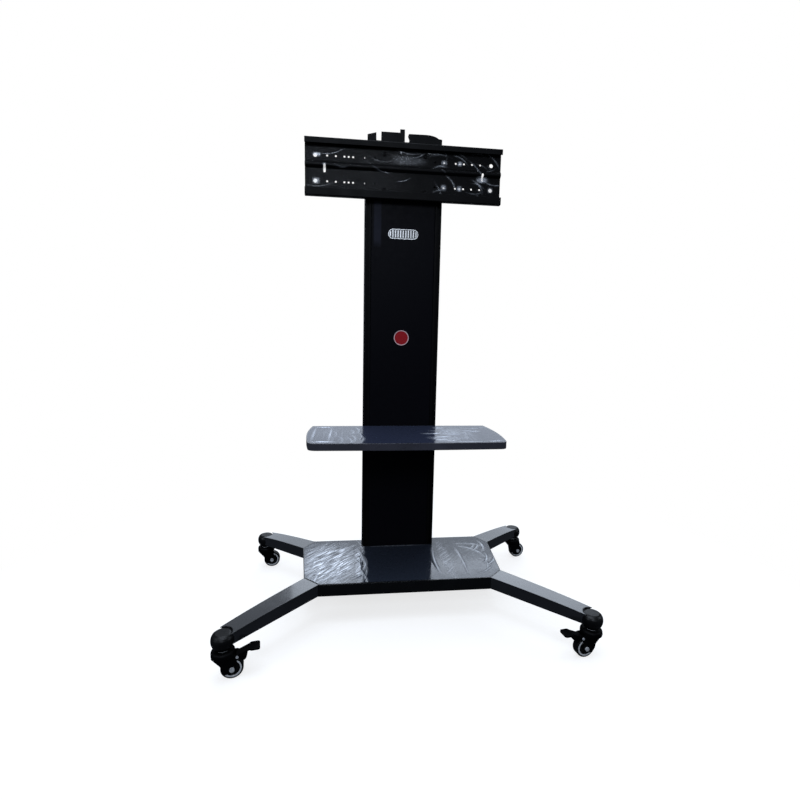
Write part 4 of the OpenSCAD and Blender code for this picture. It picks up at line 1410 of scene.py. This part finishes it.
class BaseAndColumn(SubAssembly):
    """The base with its legs, and the column that stands on it."""

    BODIES = ("base",)

    def special(self) -> dict[str, bpy.types.Material]:
        """Builds the materials of the legs, the column's front and its two plates.

        Returns:
            The material of each of these nodes.
        """
        leg = LEG_FINISH.build()
        return {
            "front_panel": PanelFinish().build(),
            "oval_plate": OvalFinish(*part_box("oval_plate")).build(),
            "round_badge": BadgeFinish(*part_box("round_badge")).build(),
            **{f"leg_{corner.value}": leg for corner in Corner},
        }

    def added(self) -> list[bpy.types.Object]:
        """Builds the film on the base."""
        return [BaseFilm().build()]


class Shelf(SubAssembly):
    """The shelf with its brackets."""

    BODIES = ("shelf",)

    def special(self) -> dict[str, bpy.types.Material]:
        """Returns the material of the tray."""
        return {"shelf_tray": SHELF_FINISH.build()}

    def added(self) -> list[bpy.types.Object]:
        """Builds the film on the shelf."""
        return [ShelfFilm().build()]


class Head(SubAssembly):
    """The wall plate and the head plate behind it."""

    BODIES = ("head",)

    def special(self) -> dict[str, bpy.types.Material]:
        """Returns the paint of the wall plate's bolts, which are black like the plate."""
        return {"wall_plate_bolts": self.paints[Slot.POWDER]}

    def added(self) -> list[bpy.types.Object]:
        """Builds the film on the wall plate."""
        return [PlateFilm().build()]


class Casters(SubAssembly):
    """The four casters with their forks, wheels and brakes."""

    BODIES = (
        *(f"{kind}_{corner.value}" for kind in ("fork_body", "wheel") for corner in Corner),
        *(f"brake_{side.value}" for side in Side),
    )
    # Direction of each brake lever, in degrees from X.
    LEVER_TURNS: ClassVar[dict[Side, float]] = {Side.LEFT: 10.0, Side.RIGHT: 188.0}

    def added(self) -> list[bpy.types.Object]:
        """Builds the ribs on the brake pads."""
        paint = self.paints[Slot.POWDER]
        return [PadRibs(side, turn, paint).build() for side, turn in self.LEVER_TURNS.items()]


# Stage


@dataclass(frozen=True)
class PhotoCamera:
    """The camera solved from the photo, in the shared frame.

    Attributes:
        place: Where it stands.
        yaw: Turn to the right of +Y, in radians.
        pitch: Turn downwards, in radians.
        roll: Roll of the picture, in radians.
        lens_mm: Focal length.
        sensor_mm: Width of the sensor.
        near: Nearest distance it sees.
        far: Farthest distance it sees.
    """

    place: Point = (-0.220, -1.6345, 0.998)
    yaw: float = 0.1204
    pitch: float = 0.1328
    roll: float = -0.0193
    lens_mm: float = 21.015
    sensor_mm: float = 36.0
    near: float = 0.05
    far: float = 40.0

    def build(self) -> bpy.types.Object:
        """Adds the camera and makes it the scene's.

        Returns:
            The camera's object.
        """
        level = Vector((math.sin(self.yaw), math.cos(self.yaw), 0))
        ahead = level * math.cos(self.pitch) - Vector((0, 0, math.sin(self.pitch)))
        right = Vector((math.cos(self.yaw), -math.sin(self.yaw), 0))
        down = ahead.cross(right)
        across = right * math.cos(self.roll) + down * math.sin(self.roll)
        below = down * math.cos(self.roll) - right * math.sin(self.roll)
        data = bpy.data.cameras.new("photo_camera")
        data.lens, data.sensor_width = self.lens_mm, self.sensor_mm
        data.clip_start, data.clip_end = self.near, self.far
        data.dof.use_dof = False
        made = bpy.data.objects.new("photo_camera", data)
        turn = Matrix((across, -below, -ahead)).transposed().to_4x4()
        made.matrix_world = Matrix.Translation(self.place) @ turn
        bpy.context.scene.collection.objects.link(made)
        bpy.context.scene.camera = made
        return made


@dataclass(frozen=True)
class SoftLight:
    """An area light that the camera doesn't see.

    Attributes:
        name: Object name.
        place: Where it hangs.
        target: What it faces.
        size: Its width and height.
        power: Its power in watts.
        colour: Its hex colour.
    """

    name: str
    place: Point
    target: Point
    size: Pair
    power: float
    colour: str = "#e2edfc"

    def build(self) -> None:
        """Adds the light."""
        data = bpy.data.lights.new(self.name, "AREA")
        data.shape, data.energy = "RECTANGLE", self.power
        data.size, data.size_y = self.size
        data.color = linear(self.colour)[:3]
        made = bpy.data.objects.new(self.name, data)
        made.location = self.place
        made.rotation_mode = "QUATERNION"
        made.rotation_quaternion = (Vector(self.target) - Vector(self.place)).to_track_quat("-Z", "Y")
        made.visible_camera = False
        bpy.context.scene.collection.objects.link(made)


@dataclass(frozen=True)
class Studio:
    """A pale floor, a white backdrop and soft lights.

    Attributes:
        lights: The soft lights. The cards behind the stand are what its tops mirror.
        room: Hex colour of the room that the stand mirrors.
        room_strength: How bright that room is.
        floor_half: Half the floor's width.
        floor_pale: Hex colour of the floor that the camera sees.
        floor_glow: How much light that floor gives off itself.
        floor_dark: Hex colour of the floor that the stand mirrors.
        fade: Distances from the middle over which the floor turns plain white.
    """

    lights: tuple[SoftLight, ...] = (
        SoftLight("back_card_low", (0.9, 3.6, 1.45), (0.9, 0.0, 1.45), (5.0, 1.3), 20.0),
        SoftLight("back_card_high", (1.3, 3.6, 3.4), (1.3, 0.0, 1.2), (4.4, 2.6), 66.0),
        SoftLight("back_card_left", (-1.9, 3.6, 2.9), (-1.9, 0.0, 1.2), (2.0, 1.6), 3.0),
        SoftLight("top_soft", (-0.4, -0.3, 4.2), (0.0, 0.1, 0.6), (3.2, 3.2), 110.0),
        SoftLight("left_soft", (-3.2, -1.6, 2.2), (0.0, 0.0, 0.7), (1.6, 2.2), 22.0),
        SoftLight("right_soft", (3.4, -0.4, 2.0), (0.0, 0.0, 0.7), (1.4, 2.2), 18.0),
        SoftLight("front_soft", (-0.4, -3.4, 2.7), (0.0, 0.0, 0.7), (1.6, 1.0), 45.0),
    )
    room: str = "#8f949c"
    room_strength: float = 0.35
    floor_half: float = 14.0
    floor_pale: str = "#a8a8a8"
    floor_glow: float = 0.74
    floor_dark: str = "#3a3c40"
    fade: Pair = (0.8, 1.7)

    def build(self) -> None:
        """Adds the whole stage."""
        self._world()
        self._floor()
        for light in self.lights:
            light.build()

    def _world(self) -> None:
        """Makes the world white to the camera, and a dim even light to all else."""
        world = bpy.data.worlds.new("studio_world")
        world.use_nodes = True
        sky = NodeBuilder(world.node_tree)
        rays = sky.add("ShaderNodeLightPath").node.outputs
        straight = (rays["Is Camera Ray"], rays["Is Transmission Ray"])
        seen = sky.add("ShaderNodeMath", straight, operation="MAXIMUM")
        white = sky.add("ShaderNodeBackground", (linear(WHITE), 1.0))
        dim = sky.add("ShaderNodeBackground", (linear(self.room), self.room_strength))
        sky.add("ShaderNodeOutputWorld", {"Surface": sky.add("ShaderNodeMixShader", (seen, dim, white))})
        bpy.context.scene.world = world

    def _floor(self) -> None:
        """Lays a pale floor that reflections see much darker than the camera does."""
        half = self.floor_half
        corners = np.array([(-half, -half, 0), (half, -half, 0), (half, half, 0), (-half, half, 0)])
        floor = mesh_object("floor", corners, [(0, 1, 2, 3)])
        skin = Surface("Pale_floor")
        glow = skin.add("ShaderNodeEmission", (linear(WHITE), self.floor_glow))
        pale = skin.add("ShaderNodeBsdfDiffuse", (linear(self.floor_pale),))
        dark = skin.add("ShaderNodeBsdfDiffuse", (linear(self.floor_dark),))
        white = skin.add("ShaderNodeEmission", (linear(WHITE), 1.0))
        near = skin.add("ShaderNodeAddShader", (glow, pale))
        here = skin.add("ShaderNodeTexCoord", output="Object")
        away = skin.add("ShaderNodeVectorMath", (here,), "Value", operation="LENGTH")
        fading = skin.add("ShaderNodeMapRange", (away, *self.fade, 0.0, 1.0))
        seen = skin.add("ShaderNodeMixShader", (fading, near, white))
        camera = skin.add("ShaderNodeLightPath", output="Is Camera Ray")
        shown = skin.add("ShaderNodeMixShader", (camera, dark, seen))
        skin.add("ShaderNodeOutputMaterial", {"Surface": shown})
        floor.data.materials.append(skin.material)


# The scene


def main() -> None:
    """Builds the scene."""
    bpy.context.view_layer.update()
    scene = bpy.context.scene
    for spare in [o for o in scene.objects if o.name in ("Cube", "Light", "Camera")]:
        bpy.data.objects.remove(spare)
    scene.view_settings.view_transform = "Standard"
    paints = {slot: finish.build() for slot, finish in SLOT_FINISHES.items()}
    for kind in (BaseAndColumn, Shelf, Head, Casters):
        part = kind(frame, paints)
        for name, material in part.dress().items():
            LOG.info("%s: %s", name, material.name)
        for piece in part.added():
            LOG.info("%s: %d faces, %s", piece.name, len(piece.data.polygons), piece.data.materials[0].name)
    Studio().build()
    PhotoCamera().build()


if __name__ == "__main__":
    main()
